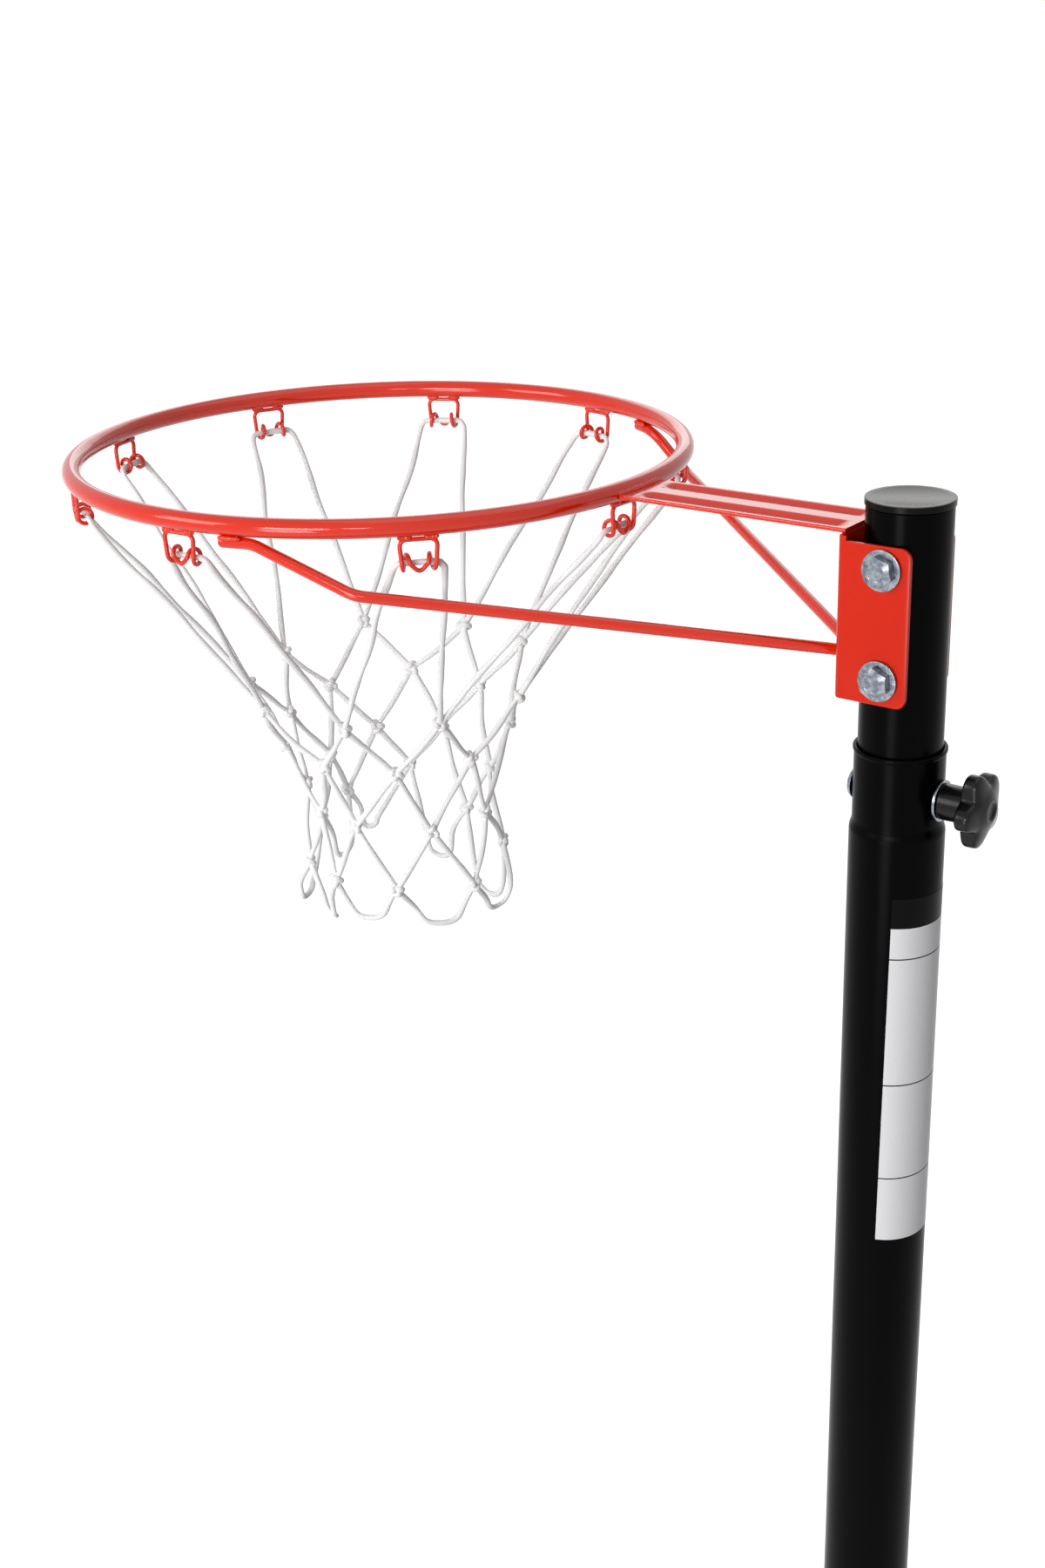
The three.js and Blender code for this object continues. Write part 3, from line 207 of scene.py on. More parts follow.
@dataclass(frozen=True)
class PowderCoat:
    """Baked powder paint: even colour, soft orange peel, gloss that varies a little."""

    name: str
    colour: Colour
    shade: Colour
    roughness: float
    specular: float
    peel: float = 0.00001
    peel_scale: float = 420.0
    patch_scale: float = 9.0
    patch_share: float = 0.7
    speck_scale: float = 240.0

    def material(self) -> Material:
        """Builds the paint's material.

        Returns:
            The material.
        """
        shader = Shader(self.name)
        patch = shader.span(shader.noise(self.patch_scale, 3.0), 0.35, 0.65)
        speck = shader.span(shader.noise(self.speck_scale, 1.0), 0.3, 0.7)
        tone = shader.sums("ADD", shader.sums("MULTIPLY", patch, self.patch_share),
                           shader.sums("MULTIPLY", speck, 1.0 - self.patch_share))
        shader.set(Base_Color=shader.between(tone, self.shade, self.colour),
                   Roughness=shader.span(patch, 0.0, 1.0, self.roughness * 1.15, self.roughness * 0.9),
                   Specular_IOR_Level=self.specular,
                   Normal=shader.bump(shader.noise(self.peel_scale), self.peel))
        return shader.material


@dataclass(frozen=True)
class Moulding:
    """Injection or blow moulded plastic with a fine grain, and a paler colour painted on it above a height in
    metres: a painted sheen.
    """

    name: str
    colour: Colour
    shade: Colour
    roughness: float
    grain: float
    grain_scale: float = 1400.0
    specular: float = 0.35
    patch_scale: float = 14.0
    # The paler colour of a painted sheen, and the height above which it is painted.
    top_sheen: Colour = (0.135, 0.13, 0.117)
    top_sheen_above: float = 10.0

    def material(self) -> Material:
        """Builds the plastic's material.

        Returns:
            The material.
        """
        shader = Shader(self.name)
        patch = shader.span(shader.noise(self.patch_scale, 4.0), 0.3, 0.7)
        fine = shader.noise(self.grain_scale, 2.0, 0.6)
        # Above that height the colour turns paler: a painted sheen on the top faces.
        top_sheen_mask = shader.sums("GREATER_THAN", shader.split("Object")[2], self.top_sheen_above)
        shader.set(Base_Color=shader.between(top_sheen_mask, shader.between(patch, self.shade, self.colour), self.top_sheen),
                   Roughness=shader.span(fine, 0.3, 0.7, self.roughness * 0.85, self.roughness * 1.15),
                   Specular_IOR_Level=self.specular, Normal=shader.bump(fine, self.grain))
        return shader.material


@dataclass(frozen=True)
class ZincPlate:
    """Bright zinc plate: bluish metal with brushed streaks and a paler bloom in patches."""

    name: str = "zinc_plate"
    colour: Colour = (0.17, 0.20, 0.245)
    bloom: Colour = (0.385, 0.405, 0.43)
    roughness: float = 0.22
    grain: float = 0.00001
    streak: Triple = (1.0, 1.0, 9.0)
    streak_scale: float = 700.0
    patch_scale: float = 330.0

    def material(self) -> Material:
        """Builds the plate's material.

        Returns:
            The material.
        """
        shader = Shader(self.name)
        streaks = shader.node("Mapping", {"Vector": shader.place.outputs["Object"], "Scale": self.streak})
        fine = shader.noise(self.streak_scale, 3.0, 0.7, streaks.outputs[0])
        patch = shader.span(shader.noise(self.patch_scale, 4.0, 0.7), 0.42, 0.62)
        shader.set(Base_Color=shader.between(patch, self.colour, self.bloom), Metallic=1.0,
                   Roughness=shader.span(fine, 0.3, 0.7, self.roughness * 0.75, self.roughness * 1.3),
                   Normal=shader.bump(fine, self.grain))
        return shader.material


@dataclass(frozen=True)
class KnottedCord:
    """White polyester cord: a braid that follows the strand, soft fibres and slow folds."""

    name: str = "net_cord"
    colour: Colour = (0.975, 0.978, 0.975)
    shade: Colour = (0.92, 0.923, 0.926)
    braid_turns: float = 4.0
    braid_steps: float = 360.0
    fold: float = 170.0
    fibre_scale: float = 1500.0
    relief: float = 0.000005

    def material(self) -> Material:
        """Builds the cord's material; UV runs round the strand and, in metres, along it.

        Returns:
            The material.
        """
        shader = Shader(self.name)
        around, along = shader.split("UV")[:2]
        turns = shader.sums("MULTIPLY", around, self.braid_turns)
        steps = shader.sums("MULTIPLY", along, self.braid_steps)
        braid = shader.sums("MAXIMUM", *[
            shader.sums("SINE", shader.sums("MULTIPLY", shader.sums(way, steps, turns), TURN))
            for way in ("ADD", "SUBTRACT")])
        fibre = shader.noise(self.fibre_scale, 3.0, 0.7)
        folds = shader.sums("SINE", shader.sums("MULTIPLY", along, self.fold))
        soft = shader.sums("MULTIPLY", shader.sums("ADD", fibre, folds), 2.0)
        tone = shader.span(shader.sums("ADD", braid, soft), -1.0, 4.0)
        height = shader.sums("ADD", shader.sums("MULTIPLY", braid, 0.5), fibre)
        shader.set(Base_Color=shader.between(tone, self.shade, self.colour), Roughness=0.75,
                   Specular_IOR_Level=0.25, Sheen_Weight=0.2, Sheen_Roughness=0.5,
                   Normal=shader.bump(height, self.relief))
        return shader.material


@dataclass(frozen=True)
class Vinyl:
    """A vinyl label left bare: black head band, white fields and thin rules, by share of its height."""

    name: str = "label_vinyl"
    white: Colour = (0.80, 0.80, 0.82)
    cloud: Colour = (0.75, 0.75, 0.77)
    ink: Colour = (0.002, 0.002, 0.002)
    band: float = 0.9187
    rules: tuple[float, ...] = (0.833, 0.47, 0.19)
    rule: float = 0.0035
    grain: float = 0.00001

    def material(self) -> Material:
        """Builds the label's material on its own UV map.

        Returns:
            The material.
        """
        shader = Shader(self.name)
        height = shader.split("UV")[1]
        dark = shader.sums("GREATER_THAN", height, self.band)
        for rule in self.rules:
            off = shader.sums("ABSOLUTE", shader.sums("SUBTRACT", height, rule))
            dark = shader.sums("MAXIMUM", dark, shader.sums("LESS_THAN", off, self.rule / 2.0))
        fine = shader.noise(700.0, 3.0)
        paper = shader.between(fine, self.cloud, self.white)
        shader.set(Base_Color=shader.between(dark, paper, self.ink), Roughness=0.34, Specular_IOR_Level=0.06,
                   Normal=shader.bump(fine, self.grain))
        return shader.material


# The red paint of ring, arm, brace and hooks; the bracket gets a darker copy of it.
RED = PowderCoat("red_powder_coat", (0.80, 0.024, 0.0008), (0.76, 0.020, 0.0004), roughness=0.115,
                 specular=0.44, peel=0.000004, peel_scale=160.0)
# The bracket's red: a copy of the same red paint, darker for painted shade and less glossy.
SHADED_RED = PowderCoat("red_paint_shaded_copy", (0.67, 0.018, 0.002), (0.63, 0.015, 0.001), roughness=0.2,
                      specular=0.22, peel=0.000004, peel_scale=160.0)
BLACK = PowderCoat("black_powder_coat", (0.0008, 0.0008, 0.0009), (0.0005, 0.0005, 0.0006), roughness=0.24,
                   specular=0.032)
KNOB_PLASTIC = Moulding("knob_plastic", (0.0022, 0.0022, 0.0025), (0.0015, 0.0015, 0.0017), roughness=0.24,
                        grain=0.000002, grain_scale=500.0, specular=0.22)
# The cap's top face is painted paler than its side: a painted sheen.
CAP_PLASTIC = Moulding("cap_plastic", (0.003, 0.0029, 0.0027), (0.002, 0.0019, 0.0018), roughness=0.27,
                       grain=0.00001, specular=0.08, top_sheen_above=2.4506)
TANK_PLASTIC = Moulding("tank_plastic", (0.020, 0.021, 0.024), (0.014, 0.015, 0.017), roughness=0.55,
                        grain=0.00010, grain_scale=900.0)
TYRE_PLASTIC = Moulding("tyre_plastic", (0.012, 0.012, 0.012), (0.008, 0.008, 0.008), roughness=0.62,
                        grain=0.00008)
SEAL_RUBBER = Moulding("seal_rubber", (0.020, 0.020, 0.020), (0.015, 0.015, 0.015), roughness=0.8,
                       grain=0.00006)
FINISHES = {"red_paint": RED, "black_paint": BLACK, "black_plastic": KNOB_PLASTIC, "cap_plastic": CAP_PLASTIC,
            "zinc": ZincPlate(), "net_cord": KnottedCord(), "tank_plastic": TANK_PLASTIC,
            "wheel_plastic": TYRE_PLASTIC, "seal_rubber": SEAL_RUBBER}


@dataclass(frozen=True)
class Lamp:
    """A soft lamp: place, width and height in metres, and power in watts."""

    name: str
    place: Place
    size: Pair
    power: float
    aim: Place = (-0.15, 0.0, 2.3)

    def build(self) -> None:
        """Makes the lamp and turns it towards the goal's head."""
        data = bpy.data.lights.new(self.name, "AREA")
        data.shape = "RECTANGLE"
        data.size, data.size_y = self.size
        data.energy = self.power
        made = bpy.data.objects.new(self.name, data)
        made.location = self.place
        way = Vector(self.aim) - Vector(self.place)
        made.rotation_euler = way.to_track_quat("-Z", "Y").to_euler()
        bpy.context.scene.collection.objects.link(made)


LAMPS = (Lamp("key_lamp", (-2.35, -3.35, 3.7), (1.8, 1.8), 54.0),
         Lamp("low_lamp", (0.1, -3.5, 1.6), (1.1, 1.6), 34.0),
         Lamp("front_lamp", (0.3, -3.5, 3.1), (1.35, 0.62), 45.0),
         Lamp("small_lamp", (1.55, -3.15, 3.35), (0.5, 0.5), 8.0),
         Lamp("top_lamp", (0.3, 0.6, 5.6), (3.0, 3.0), 22.0),
         Lamp("rear_lamp", (-2.6, 3.35, 4.15), (3.0, 2.2), 28.0))


@dataclass
class Studio:
    """Plain pale floor, pale surroundings, soft lamps and the photograph's camera, in metres and degrees."""

    floor_radius: float = 40.0
    floor_drop: float = 0.0004
    floor_colour: Colour = (0.72, 0.72, 0.72)
    contact: Pair = (0.8, 2.2)
    contact_white: float = 0.5
    ambient: float = 0.18
    eye: Place = (0.49231, -1.00201, 2.73237)
    yaw: float = 37.24
    pitch: float = 21.97
    roll: float = -1.76
    lens: float = 47.69
    sensor: float = 36.0
    view_end: float = 200.0

    def build(self) -> None:
        """Makes floor, world, lamps and camera."""
        self.floor()
        self.world()
        for lamp in LAMPS:
            lamp.build()
        self.camera()

    def floor(self) -> None:
        """A round white floor just under the tank, shown white away from the object's foot."""
        angle = circle(96)
        rim = np.stack([np.cos(angle), np.sin(angle), 0.0 * angle], 1) * self.floor_radius
        rim[:, 2] = -self.floor_drop
        mesh = bpy.data.meshes.new("floor")
        mesh.from_pydata(rim.tolist(), [], [list(range(len(rim)))])
        made = bpy.data.objects.new("floor", mesh)
        bpy.context.scene.collection.objects.link(made)
        shader = Shader("pale_floor")
        squares = [shader.sums("MULTIPLY", part, part) for part in shader.split("Object")[:2]]
        away = shader.sums("SQRT", shader.sums("ADD", *squares))
        white = shader.span(away, *self.contact, self.contact_white, 1.0)
        shader.set(Base_Color=(*self.floor_colour, 1.0), Roughness=0.9, Specular_IOR_Level=0.0,
                   Emission_Color=WHITE, Emission_Strength=shader.sums("MULTIPLY", shader.seen(), white))
        mesh.materials.append(shader.material)

    def world(self) -> None:
        """Even pale surroundings, white where they are seen or mirrored."""
        world = bpy.data.worlds.new("surroundings")
        bpy.context.scene.world = world
        world.use_nodes = True
        nodes = Nodes(world.node_tree)
        strength = nodes.span(nodes.seen(), 0.0, 1.0, self.ambient, 1.0)
        sky = nodes.node("Background", {"Color": WHITE, "Strength": strength})
        nodes.node("OutputWorld", {"Surface": sky.outputs[0]})

    def camera(self) -> None:
        """The camera fitted to the photograph: its place, three turns and its lens."""
        yaw, pitch, roll = np.radians([self.yaw, self.pitch, self.roll])
        look = np.array([-np.sin(yaw) * np.cos(pitch), np.cos(yaw) * np.cos(pitch), -np.sin(pitch)])
        right = unit(np.cross(look, UP))
        up = np.cross(right, look)
        across = np.cos(roll) * right + np.sin(roll) * up
        over = -np.sin(roll) * right + np.cos(roll) * up
        data = bpy.data.cameras.new("camera")
        data.lens = self.lens
        data.sensor_width = self.sensor
        data.clip_end = self.view_end
        made = bpy.data.objects.new("camera", data)
        turn = Matrix(np.stack([across, over, -look], 1).tolist()).to_4x4()
        made.matrix_world = Matrix.Translation(self.eye) @ turn
        bpy.context.scene.collection.objects.link(made)
        bpy.context.scene.camera = made


class Skin:
    """Faces of one piece, gathered as whole arrays and then made an object."""

    def __init__(self, *grids: Array) -> None:
        """Starts empty, or with the faces of grids whose last column meets the first.

        Args:
            grids: Points by row and column.
        """
        self.points: list[Array] = []
        self.faces: list[Array] = []
        self.places: list[Array] = []
        self.count = 0
        for grid in grids:
            self.sheet(grid, across=True)

    def sheet(self, grid: Array, across: bool = False, along: bool = False, uv: Array | None = None,
              keep: Array | None = None) -> Skin:
        """Adds a grid of points as faces between neighbouring rows and columns.

        Args:
            grid: Points by row and column.
            across: Whether the last column meets the first.
            along: Whether the last row meets the first.
            uv: UV places by row and column, one more of each where the grid closes.
            keep: Whether each face stays, by row and column.

        Returns:
            The skin itself.
        """
        rows, columns = grid.shape[:2]
        index = np.arange(rows * columns).reshape(rows, columns) + self.count
        if across:
            index = np.concatenate([index, index[:, :1]], 1)
        if along:
            index = np.concatenate([index, index[:1]], 0)
        if uv is None:
            uv = np.zeros((*index.shape, 2))
        chosen = np.ones((index.shape[0] - 1, index.shape[1] - 1), bool) if keep is None else keep
        here, after = slice(None, -1), slice(1, None)
        corners = ((here, here), (here, after), (after, after), (after, here))
        self.faces.append(np.stack([index[c][chosen] for c in corners], -1).reshape(-1, 4))
        self.places.append(np.stack([uv[c][chosen] for c in corners], 1).reshape(-1, 2))
        self.points.append(grid.reshape(-1, 3))
        self.count += rows * columns
        return self

    def strip(self, first: Array, second: Array) -> Skin:
        """Adds one row of faces between two lines of points."""
        return self.sheet(np.stack([first, second]))

    def mesh(self, name: str) -> bpy.types.Mesh:
        """The gathered faces as one mesh.

        Args:
            name: The mesh's name.

        Returns:
            The mesh, with its UV map.
        """
        mesh = bpy.data.meshes.new(name)
        mesh.from_pydata(np.concatenate(self.points).tolist(), [], np.concatenate(self.faces).tolist())
        layer = mesh.uv_layers.new(name="UVMap")
        layer.data.foreach_set("uv", np.concatenate(self.places).ravel())
        return mesh

    def show(self, name: str, coat: Coat, body: Body, *nodes: str, sharp: float = 38.0) -> None:
        """Makes the piece, finishes it and puts it on its body.

        Args:
            name: The piece's name.
            coat: Its finish and slot.
            body: The body that it rides on.
            nodes: CAD nodes that it replaces.
            sharp: Degrees past which an edge stays sharp.
        """
        show(finished(name, self.mesh(name), coat.material, sharp), coat.slot, body, *nodes)


def finished(name: str, mesh: bpy.types.Mesh, material: Material | None,
             sharp: float) -> Piece:
    """Merges a mesh's doubles, turns its faces outward and shades it.

    Args:
        name: The piece's name.
        mesh: Its faces.
        material: Its finish, none for a piece that only joins or cuts.
        sharp: Degrees past which an edge stays sharp.

    Returns:
        The object, linked at the origin.
    """
    work = bmesh.new()
    work.from_mesh(mesh)
    bmesh.ops.remove_doubles(work, verts=work.verts, dist=2e-6)
    bmesh.ops.dissolve_degenerate(work, edges=work.edges, dist=1e-7)
    bmesh.ops.recalc_face_normals(work, faces=work.faces)
    work.to_mesh(mesh)
    work.free()
    if material:
        mesh.materials.append(material)
    mesh.shade_smooth()
    mesh.set_sharp_from_angle(angle=np.radians(sharp))
    made = bpy.data.objects.new(name, mesh)
    bpy.context.scene.collection.objects.link(made)
    return made


def show(made: Piece, slot: str | None, body: Body, *nodes: str) -> None:
    """Puts a piece on its body and hides the CAD nodes it stands for.

    Args:
        made: The piece.
        slot: The record's material slot, if it fills one; not used.
        body: The body that it rides on.
        nodes: CAD nodes that it replaces.
    """
    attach(made, body.value)
    if nodes:
        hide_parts(*nodes)
    LOG.info("%s on %s, %d faces", made.name, body.value, len(made.data.polygons))


def mm(*rows: tuple[float, ...]) -> Array:
    """Rows of millimetres as an array in metres."""
    return np.array(rows, float) * MM


def at(x: float, y: float, z: float) -> Array:
    """One place given in millimetres, in metres."""
    return np.array([x, y, z]) * MM


def unit(vectors: Array) -> Array:
    """Each vector divided by its own length."""
    return vectors / np.maximum(np.linalg.norm(vectors, axis=-1, keepdims=True), 1e-12)


def circle(count: int) -> Array:
    """Angles of a number of even steps round a full turn."""
    return np.linspace(0.0, TURN, count, endpoint=False)


def ramp(count: int) -> Array:
    """A number of even steps from 0 to 1."""
    return np.linspace(0.0, 1.0, count)


def eased(share: Array) -> Array:
    """A smooth step from 0 to 1: share^2 * (3 - 2 * share)."""
    return share ** 2 * (3.0 - 2.0 * share)


def about_z(radius: Array, angle: Array, height: Array) -> Array:
    """Points about Z by radius, angle and height: (r cos a, r sin a, h)."""
    return np.stack([radius * np.cos(angle), radius * np.sin(angle), height + 0.0 * angle], -1)


def turned(profile: Array, sides: int = 72) -> Array:
    """A profile of radius and height carried round Z."""
    return about_z(profile[:, :1], circle(sides), profile[:, 1:2])


def along_x(grid: Array) -> Array:
    """Turns a shape made along Z to lie along +X."""
    return np.stack([grid[..., 2], grid[..., 1], -grid[..., 0]], -1)


def along_y(grid: Array, side: float = 1.0) -> Array:
    """Turns a shape made along Z to lie along +Y, or along -Y for side -1."""
    return np.stack([grid[..., 0] * side, grid[..., 2] * side, -grid[..., 1]], -1)


def round_ring(degrees: Array | float, radius: Array | float, height: Array | float) -> Array:
    """Points round the ring's centre.

    Args:
        degrees: Angles.
        radius: Radii, in millimetres.
        height: Heights from the ring's plane.

    Returns:
        The points in metres.
    """
    angle = np.radians(degrees)
    flat = np.stack(np.broadcast_arrays(radius * np.cos(angle), radius * np.sin(angle), height), -1)
    return flat * MM + RING_CENTRE


def outward(place: Array) -> Array:
    """The level direction from the ring's axis to a place."""
    return unit((place - RING_CENTRE) * [1.0, 1.0, 0.0])


def at_hook(local: Array, degrees: float) -> Array:
    """Places points of a hook's own frame round the ring.

    Args:
        local: Points by their way across, outward and up.
        degrees: The hook's angle.

    Returns:
        The points in the object's frame.
    """
    angle = np.radians(degrees)
    out = np.array([np.cos(angle), np.sin(angle), 0.0])
    across = np.array([-np.sin(angle), np.cos(angle), 0.0])
    return RING_CENTRE + local[:, :1] * across + local[:, 1:2] * out + local[:, 2:] * UP


def rounded(corners: Array, radii: list[float], steps: int = 8) -> Array:
    """A route whose inner corners are arcs: centre = corner + bisector * radius / sin(half angle).

    Args:
        corners: Points of the route, in two or three dimensions.
        radii: The radius at each inner corner, zero for a sharp one.
        steps: Steps of each arc.

    Returns:
        The route's points.
    """
    out = [corners[:1]]
    for i, radius in enumerate(radii, start=1):
        if radius <= 0.0:
            out.append(corners[i:i + 1])
            continue
        back, onward = unit(corners[i - 1] - corners[i]), unit(corners[i + 1] - corners[i])
        half = np.arccos(np.clip(back @ onward, -1.0, 1.0)) / 2.0
        centre = corners[i] + unit(back + onward) * radius / np.sin(half)
        start = corners[i] + back * radius / np.tan(half) - centre
        end = corners[i] + onward * radius / np.tan(half) - centre
        sweep = np.pi - 2.0 * half
        share = ramp(steps + 1)[:, None]
        arc = (np.sin((1.0 - share) * sweep) * start + np.sin(share * sweep) * end) / np.sin(sweep)
        out.append(arc + centre)
    out.append(corners[-1:])
    return np.concatenate(out)


def travelled(points: Array) -> Array:
    """The length from a line's start to each of its points."""
    return np.concatenate([[0.0], np.cumsum(np.linalg.norm(np.diff(points, axis=0), axis=1))])


def even(points: Array, step: float) -> Array:
    """The same line with its points spaced evenly.

    Args:
        points: The line.
        step: About the distance between its new points.

    Returns:
        The new points, both ends kept.
    """
    length = travelled(points)
    place = np.linspace(0.0, length[-1], max(int(round(length[-1] / step)), 2) + 1)
    return np.stack([np.interp(place, length, points[:, k]) for k in range(points.shape[1])], 1)


def smooth_line(points: Array, step: float) -> Array:
    """A smooth curve through points: cubic pieces whose slopes join the neighbours (Catmull-Rom).

    Args:
        points: Places that the curve passes.
        step: Distance between the curve's own points.

    Returns:
        The curve's points, evenly spaced.
    """
    ends = np.concatenate([[2.0 * points[0] - points[1]], points, [2.0 * points[-1] - points[-2]]])
    share = np.linspace(0.0, 1.0, 24, endpoint=False)[None, :, None]
    before, first, second, after = (ends[i:len(ends) - 3 + i, None] for i in range(4))
    curve = 0.5 * (2.0 * first + (second - before) * share
                   + (2.0 * before - 5.0 * first + 4.0 * second - after) * share ** 2
                   + (3.0 * first - before - 3.0 * second + after) * share ** 3)
    return even(np.concatenate([curve.reshape(-1, points.shape[1]), points[-1:]]), step)


def swept(path: Array, radius: Array | float, sides: int = 16, loop: bool = False) -> tuple[Array, Array]:
    """A round section carried along a path, its frame turned as little as possible on the way.

    Args:
        path: Centre line.
        radius: One radius, or one for each point.
        sides: Points round the section.
        loop: Whether the path closes on itself.

    Returns:
        The grid of points, and its UV places: turns round and metres along.
    """
    before = np.roll(path, 1, 0) if loop else np.concatenate([path[:1], path[:-1]])
    after = np.roll(path, -1, 0) if loop else np.concatenate([path[1:], path[-1:]])
    tangent = unit(after - before)
    normal = np.empty_like(tangent)
    helper = np.eye(3)[np.argmin(np.abs(tangent[0]))]
    last = unit(helper - tangent[0] * (helper @ tangent[0]))
    for i, direction in enumerate(tangent):
        last = unit(last - direction * (last @ direction))
        normal[i] = last
    third = np.cross(tangent, normal)
    angle = circle(sides)[:, None]
    size = np.broadcast_to(np.asarray(radius, float), (len(path),))[:, None, None]
    section = normal[:, None] * np.cos(angle) + third[:, None] * np.sin(angle)
    length = travelled(path)
    if loop:
        length = np.append(length, length[-1] + np.linalg.norm(path[0] - path[-1]))
    turn = ramp(sides + 1)
    return path[:, None] + section * size, np.stack(np.meshgrid(turn, length), -1)


def rod(skin: Skin, path: Array, radius: Array | float, sides: int = 16, dome: float = 1.0) -> Skin:
    """Adds a rod with domed ends: the end rows shrink as a quarter of an ellipse.

    Args:
        skin: Where the faces go.
        path: Centre line.
        radius: One radius, or one for each point.
        sides: Points round the section.
        dome: Depth of each domed end, as a share of the radius.

    Returns:
        The skin.
    """
    size = np.broadcast_to(np.asarray(radius, float), (len(path),))
    quarter = np.linspace(0.0, QUARTER, 7)
    first, last = unit(path[0] - path[1]), unit(path[-1] - path[-2])
    start = path[0] + first * (size[0] * dome * np.sin(quarter[:0:-1]))[:, None]
    end = path[-1] + last * (size[-1] * dome * np.sin(quarter[1:]))[:, None]
    whole = np.concatenate([start, path, end])
    sizes = np.concatenate([size[0] * np.cos(quarter[:0:-1]), size, size[-1] * np.cos(quarter[1:])])
    sizes[[0, -1]] = 0.0
    grid, uv = swept(whole, np.maximum(sizes, 0.0), sides)
    return skin.sheet(grid, across=True, uv=uv)


def weld_bead(skin: Skin, path: Array, width: float, seed: float) -> Skin:
    """Adds a weld bead along a path: its radius ripples each 2.2 mm and wanders, and its ends taper.

    Args:
        skin: Where the faces go.
        path: The line of the joint.
        width: Half the bead's width, in millimetres.
        seed: Starts the wandering, so that beads differ.

    Returns:
        The skin.
    """
    step, wavelength = 0.5 * MM, 2.2 * MM
    line = even(path, step)
    length = np.arange(len(line)) * step
    ripple = 1.0 + 0.10 * np.sin(TURN * length / wavelength + seed)
    wander = 1.0 + 0.10 * np.sin(length * 410.0 + 3.0 * seed) + 0.07 * np.sin(length * 930.0 + seed)
    share = ramp(len(line))
    taper = 1.0 - 0.55 * np.abs(2.0 * share - 1.0) ** 8
    return rod(skin, line, width * MM * ripple * wander * taper, 14, 0.7)


def solid(*grids: Array) -> Piece:
    """A bare closed piece from closed grids, for joining and cutting."""
    return finished("solid", Skin(*grids).mesh("solid"), None, 30.0)


def combined(body: Piece, tools: list[Piece], kind: str) -> Piece:
    """Cuts closed tools from a closed body, or joins them to it, and removes the tools.

    Args:
        body: The body, whose mesh is replaced.
        tools: Closed pieces.
        kind: DIFFERENCE or UNION.

    Returns:
        The body.
    """
    for tool in tools:
        step = body.modifiers.new(tool.name, "BOOLEAN")
        step.operation = kind
        step.solver = "EXACT"
        step.object = tool
    graph = bpy.context.evaluated_depsgraph_get()
    whole = bpy.data.meshes.new_from_object(body.evaluated_get(graph))
    body.modifiers.clear()
    body.data = whole
    for tool in tools:
        bpy.data.objects.remove(tool)
    return body


def show_carved(made: Piece, name: str, coat: Coat, body: Body, node: str, sharp: float) -> None:
    """Turns a carved solid into a finished piece.

    Args:
        made: The carved solid.
        name: The piece's name.
        coat: Its finish and slot.
        body: The body that it rides on.
        node: The CAD node that it replaces.
        sharp: Degrees past which an edge stays sharp.
    """
    mesh = made.data
    bpy.data.objects.remove(made)
    mesh.materials.clear()
    show(finished(name, mesh, coat.material, sharp), coat.slot, body, node)


def bar(radius: float, low: float, high: float, sides: int = 64) -> Array:
    """A closed round bar about Z between two heights, in millimetres."""
    return turned(mm((0.0, low), (radius, low), (radius, high), (0.0, high)), sides)


def box(low: Place, high: Place) -> Array:
    """A closed block between two corners, as a grid whose ends shrink to points.

    Args:
        low: The lowest corner, in millimetres.
        high: The highest one.

    Returns:
        The grid in metres.
    """
    x0, y0, z0, x1, y1, z1 = *low, *high
    plan = np.array([[x0, y0], [x1, y0], [x1, y1], [x0, y1]])
    middle = np.broadcast_to(plan.mean(0), plan.shape)
    rows = [(middle, z0), (plan, z0), (plan, z1), (middle, z1)]
    return np.stack([np.column_stack([flat, np.full(4, z)]) for flat, z in rows]) * MM


